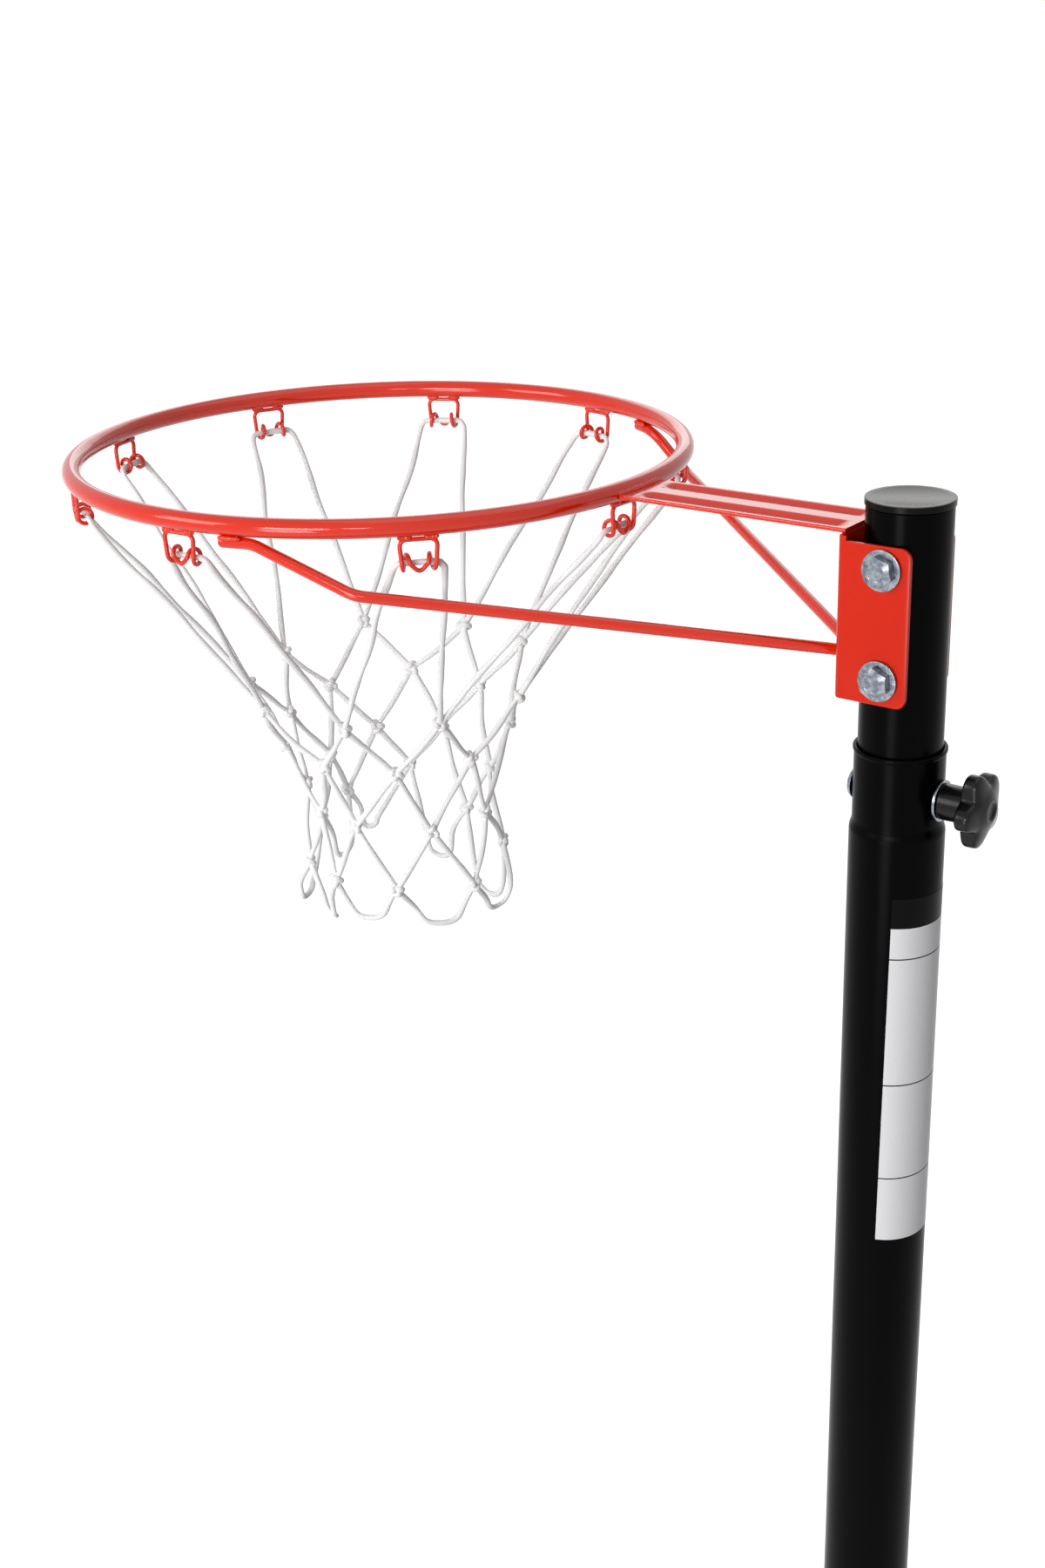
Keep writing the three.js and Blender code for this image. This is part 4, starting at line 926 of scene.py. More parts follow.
@dataclass
class GoalRing:
    """The ring: a bar bent to a circle, butt welded once, with nine wire hooks under it.

    The bar is drawn thinner by the allowance, so that its weld stays inside the solid's own size.
    """

    red: Coat
    radius: float = 196.0
    bar: float = 6.0
    seam: float = -152.0
    seam_half: float = 0.9
    seam_rise: float = 0.028
    allowance: float = 0.16
    wire: float = 1.35
    half_top: float = 11.0
    half_foot: float = 9.9
    corner: float = 4.0
    coil: float = 4.4
    coil_drop: float = 22.0
    pitch: float = 4.7
    foot_drop: float = 26.0
    hooks: tuple[float, ...] = (-3.0, -43.7, -86.1, -126.0, -166.7, -205.2, -243.3, -280.8, -323.0)
    weld: Pair = (4.0, 11.4)
    weld_height: float = -6.6
    weld_half: float = 1.9

    def build(self) -> None:
        """Makes the bar, the hooks and their weld beads."""
        self.ring()
        beads = Skin()
        for number, degrees in enumerate(self.hooks):
            wire = rod(Skin(), at_hook(self.route(), degrees), self.wire * MM, 14)
            wire.show(f"wire_hook_{number + 1}", self.red, Body.HEAD, f"net_hook_{number + 1}", sharp=60.0)
            for side in (-1.0, 1.0):
                ends = mm(*[(side * across, self.radius, self.weld_height) for across in self.weld])
                weld_bead(beads, at_hook(ends, degrees), self.weld_half, number + 0.4 * side)
        beads.show("hook_welds", self.red, Body.HEAD, sharp=60.0)

    def ring(self) -> None:
        """The bar: a circle carried round a circle, a little fuller at its butt weld."""
        turn = np.radians(np.arange(0.0, 360.0, 1.25))[:, None]
        angle = circle(40)[None]
        off = (np.degrees(turn) - self.seam + 180.0) % 360.0 - 180.0
        full = self.bar * (1.0 + self.seam_rise * np.exp(-(off / self.seam_half) ** 2)) - self.allowance
        grid = about_z(self.radius + full * np.cos(angle), turn, full * np.sin(angle)) * MM + RING_CENTRE
        Skin().sheet(grid, across=True, along=True).show("goal_ring_bar", self.red, Body.HEAD, "goal_ring")

    def route(self) -> Array:
        """A hook's wire: level top, leg, coil and half the V, then the same mirrored.

        Returns:
            Its points in the hook's own frame: across, radius and height.
        """
        level = -(self.bar + self.wire + GAP)
        leg, drop = self.radius, -self.coil_drop
        corner = rounded(mm((0.2, leg, level), (self.half_top, leg, level), (self.half_foot, leg, drop)),
                         [self.corner * MM])
        turn = np.linspace(0.0, TURN, 40)[1:]
        across = self.half_foot - self.pitch * turn / TURN
        coil = np.stack([across, leg - self.coil + self.coil * np.cos(turn),
                         drop - self.coil * np.sin(turn)], 1)
        foot = self.half_foot - self.pitch
        share = ramp(14)[1:]
        deep = (self.foot_drop - self.coil_drop) * np.sin(share * QUARTER) ** 1.2
        valley = np.stack([foot * (1.0 - share), leg + 0.0 * share, drop - deep], 1)
        half = np.concatenate([corner, coil * MM, valley * MM])
        return even(np.concatenate([half, (half * [-1.0, 1.0, 1.0])[-2::-1]]), 0.6 * MM)


@dataclass
class RingArm:
    """The pressed arm between ring and bracket, with two long troughs and its welds.

    A row of joint_welds holds a bead's lift, half width, place from the arm's start, and seed.
    """

    red: Coat
    half_width: float = 22.5
    sheet: float = 2.5
    top: float = 0.2
    trough: float = 12.4
    trough_half: float = 7.5
    depth: float = 2.6
    inset: float = 7.0
    run_out: float = 8.0
    overrun: float = 4.0
    end: float = -27.3
    start_radius: float = 202.3
    edge: float = 0.8
    fine_share: float = 0.12
    joint_welds: Rows = ((0.3, 2.0, -1.2, 0.3), (-2.6, 1.6, -0.4, 1.9))
    end_weld: Place = (-30.0, 4.0, -2.5)
    end_weld_far: float = 20.0
    end_weld_half: float = 1.3

    def height(self, x: Array, start: Array, y: Array) -> Array:
        """Dip of the troughs: depth * (1 - across^2)^2, faded over the run-outs at both ends.

        Args:
            x: Places along the arm.
            start: Where the arm begins at each y.
            y: Places across the arm.

        Returns:
            The height added at each place, zero or less.
        """
        across = np.minimum(np.abs(np.abs(y) - self.trough) / self.trough_half, 1.0)
        inside = np.minimum(x - start, self.end - x + self.overrun) - self.inset
        return -self.depth * (1.0 - across ** 2) ** 2 * eased(np.clip(inside / self.run_out, 0.0, 1.0))

    def start(self, y: Array) -> Array:
        """Where the arm begins, on the ring's outside."""
        return RING_CENTRE[0] / MM + np.sqrt(self.start_radius ** 2 - y ** 2)

    def build(self) -> None:
        """Makes the arm's closed sheet and its welds at the ring and at the bracket."""
        flat = np.linspace(-self.half_width + self.edge, self.half_width - self.edge, 150)
        bend = np.linspace(-QUARTER, QUARTER, 9)[1:-1]
        half = self.sheet / 2.0
        right = np.stack([self.half_width - self.edge + self.edge * np.cos(bend), half * np.sin(-bend)], 1)
        loop = np.concatenate([
            np.stack([flat, 0.0 * flat + half], 1), right,
            np.stack([flat[::-1], 0.0 * flat - half], 1), right[::-1] * [-1.0, 1.0]])
        y, rise = loop[:, 0], loop[:, 1]
        first, last = self.fine_share, 1.0 - self.fine_share
        share = np.concatenate([np.linspace(0.0, first, 22)[:-1], np.linspace(first, last, 24)[:-1],
                                np.linspace(last, 1.0, 22)])[:, None]
        start = self.start(y)
        x = start + share * (self.end - start)
        z = self.top - half + rise + self.height(x, start, y)
        grid = np.stack([x, y + 0.0 * x, z], -1) * MM + RING_LEVEL
        made = Skin(grid)
        count, turn = len(flat), len(right)
        for row in (grid[0], grid[-1]):
            made.strip(row[:count], row[count + turn:2 * count + turn][::-1])
            shut = np.concatenate([row[2 * count + turn - 1:], row[:1]])
            for side in (row[count - 1:count + turn + 1], shut):
                made.strip(side, np.linspace(side[0], side[-1], len(side)))
        made.show("pressed_arm", self.red, Body.HEAD, "ring_arm", sharp=30.0)
        self.welds()

    def welds(self) -> None:
        """Beads over the butt joint at the ring, under it, and along the arm's end at the bracket."""
        beads = Skin()
        y = np.linspace(-self.half_width + 1.0, self.half_width - 1.0, 60)
        for lift, width, back, seed in self.joint_welds:
            line = np.stack([self.start(y) + back, y, lift + 0.0 * y], 1) * MM + RING_LEVEL
            weld_bead(beads, line, width, seed)
        x, near, z = self.end_weld
        for side in (-1.0, 1.0):
            ends = mm((x, side * near, z), (x, side * self.end_weld_far, z)) + RING_LEVEL
            weld_bead(beads, ends, self.end_weld_half, side + 2.0)
        beads.show("arm_welds", self.red, Body.HEAD, sharp=60.0)


@dataclass
class VBrace:
    """One rod bent to a V under the ring: both ends on the ring, the point on the bracket.

    A row of ring_welds holds a bead's place from the rod's middle, and its seed.
    """

    red: Coat
    radius: float = 3.5
    ends: Pair = (-77.7, 66.0)
    weld: float = 21.0
    knee: Place = (123.0, 171.0, -34.5)
    point: Place = (-33.6, 0.0, -76.3)
    bend: float = 24.0
    point_bend: float = 9.0
    under: float = -9.8
    ring: float = 196.0
    ring_welds: Rows = ((-3.4, 0.7), (3.4, 2.3))
    ring_weld_run: Pair = (1.5, 15.0)
    ring_weld_half: float = 1.5
    ring_weld_rise: float = 3.2
    point_weld: Rows = ((2.0, 3.6), (6.5, 1.5))
    point_weld_x: float = -30.2
    point_weld_half: float = 1.6

    def side(self, angle: float, side: float) -> Array:
        """The route from an end on the ring to its knee.

        Args:
            angle: Where the end lies on the ring, in degrees.
            side: 1 for the side of +Y, -1 for the other.

        Returns:
            Three points: the end, where the rod leaves the ring, and the knee.
        """
        turn = np.degrees(self.weld / self.ring)
        x, y, z = self.knee
        ends = round_ring(np.array([angle, angle - side * turn]), self.ring, self.under)
        return np.concatenate([ends, [RING_CENTRE + at(x, side * y, z)]])

    def build(self) -> None:
        """Makes the rod and its beads."""
        point = np.array(self.point)
        half = np.arctan2(self.knee[1], point[0] - RING_CENTRE[0] / MM - self.knee[0])
        point[0] += self.point_bend * (1.0 / np.sin(half) - 1.0)
        near, far = self.side(self.ends[0], -1.0), self.side(self.ends[1], 1.0)
        corners = np.concatenate([near, [point * MM + RING_LEVEL], far[::-1]])
        radii = np.array([self.bend, self.bend, self.point_bend, self.bend, self.bend]) * MM
        route = even(rounded(corners, radii.tolist(), 18), 2.2 * MM)[1:-1]
        made = rod(Skin(), route, self.radius * MM, 22, 0.75)
        made.show("brace_rod", self.red, Body.HEAD, "v_brace", sharp=60.0)
        beads = Skin()
        turn = np.linspace(*self.ring_weld_run, 12)
        for angle, side in zip(self.ends, (-1.0, 1.0)):
            for edge, seed in self.ring_welds:
                arc = round_ring(angle - side * np.degrees(turn / self.ring), self.ring + edge,
                                 self.under + self.ring_weld_rise)
                weld_bead(beads, arc, self.ring_weld_half, seed + angle)
        for side in (-1.0, 1.0):
            ends = mm(*[(self.point_weld_x, side * y, self.point[2] + rise) for y, rise in self.point_weld])
            weld_bead(beads, ends + RING_LEVEL, self.point_weld_half, side + 5.0)
        beads.show("brace_welds", self.red, Body.HEAD, sharp=60.0)


@dataclass
class PoleBracket:
    """A U of sheet steel round the pole, its ears with rounded corners."""

    red: Coat
    sheet: float = 2.5
    front: float = -29.8
    back: float = 14.7
    outside: float = 26.95
    bend: float = 4.0
    top: float = -5.0
    tongue: float = -2.6
    bottom: float = -95.6
    corner: float = 6.0
    foot: float = 3.0
    step: float = 5.5
    step_width: float = 0.04
    edge: float = 0.55

    def limits(self, x: Array) -> tuple[Array, Array]:
        """Lowest and highest z of the sheet at each x: straight edges with round corners.

        Args:
            x: Places along the ears.

        Returns:
            The lowest and the highest z at each.
        """
        ear = np.clip(x - (self.back - self.corner), 0.0, self.corner)
        round_off = self.corner - np.sqrt(np.maximum(self.corner ** 2 - ear ** 2, 0.0))
        toe = np.clip(self.front + self.foot - x, 0.0, self.foot)
        toe_off = self.foot - np.sqrt(np.maximum(self.foot ** 2 - toe ** 2, 0.0))
        high = np.where(x < self.front + self.step, self.tongue, self.top - round_off)
        return self.bottom + round_off + toe_off, high

    def rim(self, offset: Array) -> Array:
        """How far the rounded edge falls back at an offset from the sheet's middle."""
        over = np.clip(np.abs(offset) - (self.sheet / 2.0 - self.edge), 0.0, self.edge)
        return self.edge - np.sqrt(self.edge ** 2 - over ** 2)

    def build(self) -> None:
        """Carries the sheet's section along the U and closes its two free edges."""
        step = self.front + self.step
        ear = self.back - self.corner * (1.0 - np.cos(np.linspace(0.0, QUARTER, 16)))
        long = np.linspace(self.back - self.corner, step + self.step_width, 8)
        x = np.concatenate([ear, long[1:], [step - self.step_width]])
        angle = np.linspace(1.5 * np.pi, np.pi, 12)
        centre = np.array([self.front + self.bend, self.bend - self.outside])
        lines = []
        for inset in (0.0, self.sheet):
            straight = np.stack([x, 0.0 * x + inset - self.outside], 1)
            arc = centre + (self.bend - inset) * np.stack([np.cos(angle), np.sin(angle)], 1)
            half = np.concatenate([straight, arc])
            lines.append(np.concatenate([half, (half * [1.0, -1.0])[::-1]]))
        outer, inner = lines
        quarter = self.sheet / 2.0 - self.edge + self.edge * np.sin(np.linspace(0.0, QUARTER, 5))
        offset = np.concatenate([-quarter[::-1], quarter, quarter[::-1], -quarter])
        place = (outer + inner)[:, None] / 2.0 + (outer - inner)[:, None] * offset[:, None] / self.sheet
        low, high = self.limits(place[..., 0])
        count = len(offset) // 2
        z = np.where(np.arange(2 * count) < count, low + self.rim(offset), high - self.rim(offset))
        grid = np.concatenate([place, z[..., None]], -1) * MM + RING_LEVEL
        made = Skin(grid)
        for row in (grid[0], grid[-1]):
            made.strip(row[:count], row[count:][::-1])
        made.show("folded_bracket", self.red, Body.HEAD, "pole_bracket", sharp=32.0)


def hex_head(across: float, height: float, chamfer: float = 31.0) -> Array:
    """A hexagon prism with one chamfered, dished end: radius = half / cos(angle to its flat).

    Args:
        across: Width across flats, in millimetres.
        height: Its height, in millimetres.
        chamfer: Slope of the chamfer in degrees.

    Returns:
        A grid from the underside's centre to the top's, about Z.
    """
    angle = np.radians(np.arange(0.0, 360.0, 3.0))
    flat, sixth, dish = across / 2.0, np.pi / 3.0, 0.25
    hexagon = flat / np.cos((angle + sixth / 2.0) % sixth - sixth / 2.0)
    crown = flat * 0.71 + 0.0 * hexagon
    edge = height - (hexagon - crown) * np.tan(np.radians(chamfer))
    rows = [(0.0 * hexagon, 0.0), (hexagon * 0.97, 0.0), (hexagon, dish), (hexagon, edge), (crown, height),
            (crown * 0.82, height), (crown * 0.74, height - dish), (0.0 * crown, height - dish)]
    return np.stack([about_z(radius, angle, level) for radius, level in rows]) * MM


def hex_nut(across: float, height: float, bore: float, dish: float) -> Array:
    """A nut: the chamfered prism, whose two end rows are the rims of its bore.

    Args:
        across: Width across flats, in millimetres.
        height: Its height.
        bore: The bore's radius.
        dish: How far the bore's outer rim lies under the top.

    Returns:
        A closed grid about Z.
    """
    grid = hex_head(across, height)
    grid[[0, -1]] = turned(mm((bore, 0.0), (bore, height - dish)), grid.shape[1])
    return np.concatenate([grid, grid[:1]])


def climb(z: Array, angle: Array, pitch: float) -> Array:
    """A thread's triangle wave: 1 to 0 and back while height over pitch less the turn grows by 1."""
    return np.abs(((z / pitch - angle / TURN) % 1.0) * 2.0 - 1.0)


def thread(radius: float, low: float, high: float, pitch: float) -> Array:
    """A threaded shank: its radius falls by the wave, and narrows over the last turn.

    Args:
        radius: Outside radius, in millimetres.
        low: Where it starts.
        high: Where it ends.
        pitch: Distance between turns.

    Returns:
        A closed grid about Z.
    """
    angle = circle(32)[None]
    z = np.arange(low, high, pitch / 7.0)[:, None]
    fade = np.clip((high - z) / pitch, 0.0, 1.0)
    r = radius - 0.61 * pitch * climb(z, angle, pitch) * fade - 0.5 * pitch * (1.0 - fade)
    ends = [np.zeros((1, angle.size, 3)) + [0.0, 0.0, level] for level in (low, z[-1, 0])]
    return np.concatenate([ends[0], about_z(r, angle, z), ends[1]]) * MM


def washer_ring(inner: float, outer: float, sheet: float, edge: float = 0.3) -> Array:
    """A flat washer from height zero up, its rims rounded.

    Args:
        inner: Radius of its hole, in millimetres.
        outer: Its own radius.
        sheet: Its thickness.
        edge: Radius of its rims.

    Returns:
        A closed grid about Z.
    """
    profile = rounded(mm((inner, sheet), (outer, sheet), (outer, 0.0), (inner, 0.0)), [edge * MM, edge * MM], 4)
    return turned(np.concatenate([profile, profile[:1]]), 72)


@dataclass
class RingBolts:
    """Two bolts through the bracket's ears and the pole, each with two washers and a nut."""

    zinc: Coat
    backset: float = -1.8
    heights: Pair = (-18.1, -80.9)
    names: tuple[str, str] = ("upper", "lower")
    turns: Pair = (11.0, 4.0)
    face: float = 29.25
    ear: float = 27.25
    washer: float = 11.6
    washer_room: float = 0.4
    washer_sheet: float = 2.0
    hexagon: float = 16.0
    head: float = 6.4
    nut: float = 8.0
    nut_dish: float = 0.12
    radius: float = 5.0
    plain: float = 36.0
    end: float = 41.55
    pitch: float = 1.5

    def build(self) -> None:
        """Makes both bolts with their washers and nuts, each head turned by its own angle."""
        seat = self.face + GAP
        for name, height, degrees in zip(self.names, self.heights, self.turns):
            place = at(self.backset, 0.0, height) + RING_LEVEL
            turn = np.radians(degrees)
            spin = np.array([[np.cos(turn), -np.sin(turn), 0.0], [np.sin(turn), np.cos(turn), 0.0], UP])
            head = along_y(hex_head(self.hexagon, self.head) @ spin.T + at(0.0, 0.0, seat), -1.0)
            shank = along_y(bar(self.radius, -seat, self.plain, 32))
            end = along_y(thread(self.radius, self.plain, self.end, self.pitch))
            bolt = Skin(head + place, shank + place, end + place)
            bolt.show(f"hex_bolt_{name}", self.zinc, Body.HEAD, f"ring_bolt_{name}", sharp=25.0)
            ring = along_y(washer_ring(self.radius + self.washer_room, self.washer, self.washer_sheet)) + place
            for word, start in (("near", -self.face), ("far", self.ear)):
                Skin(ring + at(0.0, start, 0.0)).show(f"flat_washer_{word}_{name}", self.zinc, Body.HEAD,
                                                      f"ring_washer_{word}_{name}")
            nut = hex_nut(self.hexagon, self.nut, self.radius + GAP, self.nut_dish) @ spin.T
            Skin(along_y(nut) + place + at(0.0, seat, 0.0)).show(f"hex_nut_{name}", self.zinc, Body.HEAD,
                                                                 f"ring_nut_{name}", sharp=25.0)


@dataclass
class Poles:
    """The three poles and the plastic cap: tubes with drawn necks and rolled rims."""

    black: Coat
    plastic: Coat
    upper: float = 24.15
    wall: float = 1.5
    upper_low: float = 1547.5
    upper_high: float = 2446.7
    bevel: float = 0.35
    bevel_height: float = 0.4
    slot: float = 4.4
    slot_low: float = 1669.0
    slot_high: float = 2279.0
    cap_top: float = 2451.0
    cap_under: float = 2447.0
    cap_lip: float = 0.75
    cap_rim: Pair = (3.2, 4.0)
    cap_dish: float = 0.25
    cap_edge: float = 0.4
    plug: Pair = (2.0, 22.0)
    neck: float = 26.0
    pole: float = 27.5
    rim: float = 2307.5
    roll: Triple = (0.7, 2.1, 3.0)
    roll_radii: Triple = (0.5, 0.6, 0.4)
    neck_length: float = 43.5
    flare: float = 7.5
    spigot_flare: float = 12.0
    joint: float = 1187.5
    foot: float = 28.0
    spigot: float = 25.65
    spigot_length: float = 110.0

    def build(self) -> None:
        """Makes the poles and the cap."""
        self.upper_pole()
        self.pole_cap()
        self.middle_pole()
        self.bottom_pole()

    def upper_pole(self) -> None:
        """Two half shells whose edges leave the slot open: edge angle = asin(half width / radius)."""
        end = np.sin(np.linspace(0.0, QUARTER, 10)) * self.slot
        z = np.concatenate([[self.upper_low, self.upper_low + self.bevel_height], self.slot_low - end[::-1],
                            self.slot_high + end, [self.upper_high - self.bevel_height, self.upper_high]])
        beyond = np.maximum(np.maximum(self.slot_low - z, z - self.slot_high), 0.0)
        half = np.sqrt(np.maximum(self.slot ** 2 - beyond ** 2, 0.0))[:, None]
        bevel = np.where((z == self.upper_low) | (z == self.upper_high), self.bevel, 0.0)[:, None]
        share = ramp(49)[None]
        count = share.size
        parts = []
        for radius, way in ((self.upper - bevel, share), (self.upper - self.wall + bevel, share[:, ::-1])):
            edge = np.arcsin(half / radius)
            parts.append(about_z(radius, edge + way * (np.pi - 2.0 * edge), z[:, None]))
        loop = np.concatenate(parts, 1) * MM
        keep = np.ones((len(z) - 1, loop.shape[1]), bool)
        keep[:, count - 1] = keep[:, -1] = (half[:-1, 0] > 0.01) | (half[1:, 0] > 0.01)
        made = Skin()
        for turn in (1.0, -1.0):
            made.sheet(loop * [turn, turn, 1.0], across=True, keep=keep)
            for row in (loop[0] * [turn, turn, 1.0], loop[-1] * [turn, turn, 1.0]):
                made.strip(row[:count], row[count:][::-1])
        made.show("upper_tube", self.black, Body.HEAD, "upper_pole", sharp=30.0)

    def pole_cap(self) -> None:
        """A plug with a flat head, its rim rounded and a faint dish inside it."""
        top, under, bore = self.cap_top, self.cap_under, self.upper - self.wall - GAP
        lip = self.upper + self.cap_lip
        step, low = bore - self.plug[0], under - self.plug[1]
        dish = top - self.cap_dish
        outline = mm((0.0, under), (step, under), (step, low), (bore, low), (bore, under), (lip, under),
                     (lip, top), (lip - self.cap_rim[0], top), (lip - self.cap_rim[1], dish), (0.0, dish))
        edge = self.cap_edge * MM
        profile = rounded(outline, [0.0, 0.0, 0.0, 0.0, edge, edge, 0.0, 0.0], 6)
        Skin(turned(profile, 96)).show("cap_moulding", self.plastic, Body.HEAD, "pole_cap", sharp=40.0)

    def drawn(self, start: float, end: float, top: float, length: float, share: Array) -> Array:
        """A tube's wall drawn in from one radius to another by a smooth step.

        Args:
            start: The radius below.
            end: The radius above.
            top: Where the step ends.
            length: Its length.
            share: How far up it each point lies.

        Returns:
            Rows of radius and height, in millimetres.
        """
        return np.concatenate([start + (end - start) * eased(share), top - length * (1.0 - share)], 1)

    def middle_pole(self) -> None:
        """A tube drawn in to a neck, with a small rolled rim round its top."""
        low = self.rim - self.neck_length
        share = ramp(13)[1:-1, None]
        flare = self.drawn(self.pole, self.neck, low, self.flare, share)
        out, under, start = self.roll
        hollow, bore = self.neck - self.wall, self.pole - self.wall
        wide, rim = self.neck + out, self.rim
        head = mm((self.neck, rim - start), (wide, rim - under), (wide, rim), (hollow, rim), (hollow, low))
        lip = rounded(head, [radius * MM for radius in self.roll_radii], 5)
        outer = np.concatenate([mm((self.pole, self.joint), (self.pole, low - self.flare)), flare * MM,
                                mm((self.neck, low))])
        inner = mm((bore, low - self.flare), (bore, self.joint), (self.pole, self.joint))
        tube = turned(np.concatenate([outer, lip, inner]), 96)
        Skin(tube).show("middle_tube", self.black, Body.STAND, "middle_pole", sharp=28.0)

    def bottom_pole(self) -> None:
        """A tube whose top is drawn in to a long spigot for the middle pole."""
        shoulder, top = self.joint - GAP, self.joint + self.spigot_length
        share = ramp(13)[:, None]
        neck = self.drawn(self.pole, self.spigot, shoulder, self.spigot_flare, share)
        hollow, bore = self.spigot - self.wall, self.pole - self.wall
        outer = np.concatenate([mm((self.pole, self.foot)), neck * MM, mm((self.spigot, top))])
        inner = mm((hollow, top), (hollow, shoulder), (bore, shoulder - self.spigot_flare), (bore, self.foot),
                   (self.pole, self.foot))
        tube = turned(np.concatenate([outer, inner]), 96)
        Skin(tube).show("bottom_tube", self.black, Body.STAND, "bottom_pole", sharp=28.0)


@dataclass
class Clamp:
    """The clamp under the neck's rim: a domed bolt, a washer and a star knob along X.

    A knot of the knob's profile holds a share of its radius and a share of its head's height.
    """

    zinc: Coat
    plastic: Coat
    height: float = 2279.0
    neck: float = 26.0
    dome: float = 4.6
    dome_radius: float = 9.5
    bolt: float = 4.0
    bolt_end: Pair = (45.0, 45.2)
    washer: float = 12.0
    washer_bore: float = 4.4
    washer_sheet: float = 1.6
    shank: float = 10.5
    shank_bore: float = 4.3
    shank_length: float = 15.6
    shank_depth: float = 18.0
    start: float = 28.2
    radius: float = 22.5
    head: float = 15.9
    lobes: int = 5
    depth: float = 6.5
    turn: float = 51.0
    knots: Rows = (
        (0.0, 0.0), (0.5, 0.0), (0.82, 0.0), (0.90, 0.012), (0.96, 0.045), (0.99, 0.10), (1.0, 0.17),
        (1.0, 0.32), (0.995, 0.47), (0.975, 0.55), (0.92, 0.61), (0.80, 0.68), (0.64, 0.75), (0.50, 0.81),
        (0.40, 0.85), (0.33, 0.87), (0.27, 0.855), (0.23, 0.80), (0.15, 0.77), (0.0, 0.76))

    def build(self) -> None:
        """Makes bolt, washer and knob."""
        place = at(0.0, 0.0, self.height)
        seat = self.neck + GAP
        curve = np.linspace(0.0, QUARTER, 14)[:, None]
        dome = np.concatenate([self.dome_radius * np.sin(curve), -seat - self.dome * np.cos(curve)], 1)
        shaft = [[self.bolt, -seat], [self.bolt, self.bolt_end[0]], [0.0, self.bolt_end[1]]]
        bolt = turned(np.concatenate([dome, shaft]) * MM, 64)
        Skin(along_x(bolt) + place).show("domed_bolt", self.zinc, Body.STAND, "clamp_bolt", sharp=35.0)
        ring = along_x(washer_ring(self.washer_bore, self.washer, self.washer_sheet)) + place
        Skin(ring + at(seat, 0.0, 0.0)).show("clamp_washer_ring", self.zinc, Body.STAND, "clamp_washer")
        inner, outer, low, high = self.shank_bore, self.shank, self.start, self.start + self.shank_depth
        profile = rounded(mm((inner, low), (outer, low), (outer, high), (inner, high)), [0.6 * MM, 0.0], 6)
        shank = turned(np.concatenate([profile, profile[:1]]), 64)
        knob = Skin(along_x(self.star()) + place, along_x(shank) + place)
        knob.show("star_knob", self.plastic, Body.KNOB, "clamp_knob", sharp=50.0)

    def star(self) -> Array:
        """The head: radius = share * (radius - depth / 2 * (1 - lobe)), lobe rounded off from a cosine wave.

        Returns:
            A closed grid about Z, its lobes fading towards the middle.
        """
        angle = circle(180)[None]
        wave = np.cos(self.lobes * angle)
        lobe = wave + 0.25 * (1.0 - wave * wave)
        line = smooth_line(np.array(self.knots), 0.03)
        share, rise = line[:, :1], line[:, 1:2]
        swell = np.clip(share * 2.6 - 1.6, 0.0, 1.0)
        radius = share * (self.radius - self.depth / 2.0 * (1.0 - lobe * swell))
        radius = np.where(share < 1e-4, 0.0, radius)
        height = self.start + self.shank_length + rise * self.head
        return about_z(radius, angle + np.radians(self.turn), height) * [-MM, MM, MM]


@dataclass
class PoleLabel:
    """The vinyl label round the middle pole, left bare: a black head band and three ruled fields."""

    vinyl: Coat
    radius: float = 27.62
    top: float = 2223.3
    low: float = 1994.5
    start: Pair = (-65.6, -69.3)
    width: float = 55.0
    inner: float = 0.9955

    def build(self) -> None:
        """Wraps a thin sheet round the pole, its edges leaning a little."""
        share = ramp(40)
        down = ramp(60)[:, None]
        first = self.start[0] + (self.start[1] - self.start[0]) * down
        angle = np.radians(first) + share * self.width / self.radius
        outer = about_z(self.radius, angle, self.top + (self.low - self.top) * down) * MM
        inner = outer * [self.inner, self.inner, 1.0]
        uv = np.stack([share + 0.0 * down, 1.0 - down + 0.0 * share], -1)
        made = Skin().sheet(outer, uv=uv).sheet(inner, uv=uv)
        for edge in ((0,), (-1,), (slice(None), 0), (slice(None), -1)):
            made.sheet(np.stack([outer[edge], inner[edge]]), uv=np.stack([uv[edge], uv[edge]]))
        made.show("blank_label", self.vinyl, Body.STAND, sharp=50.0)


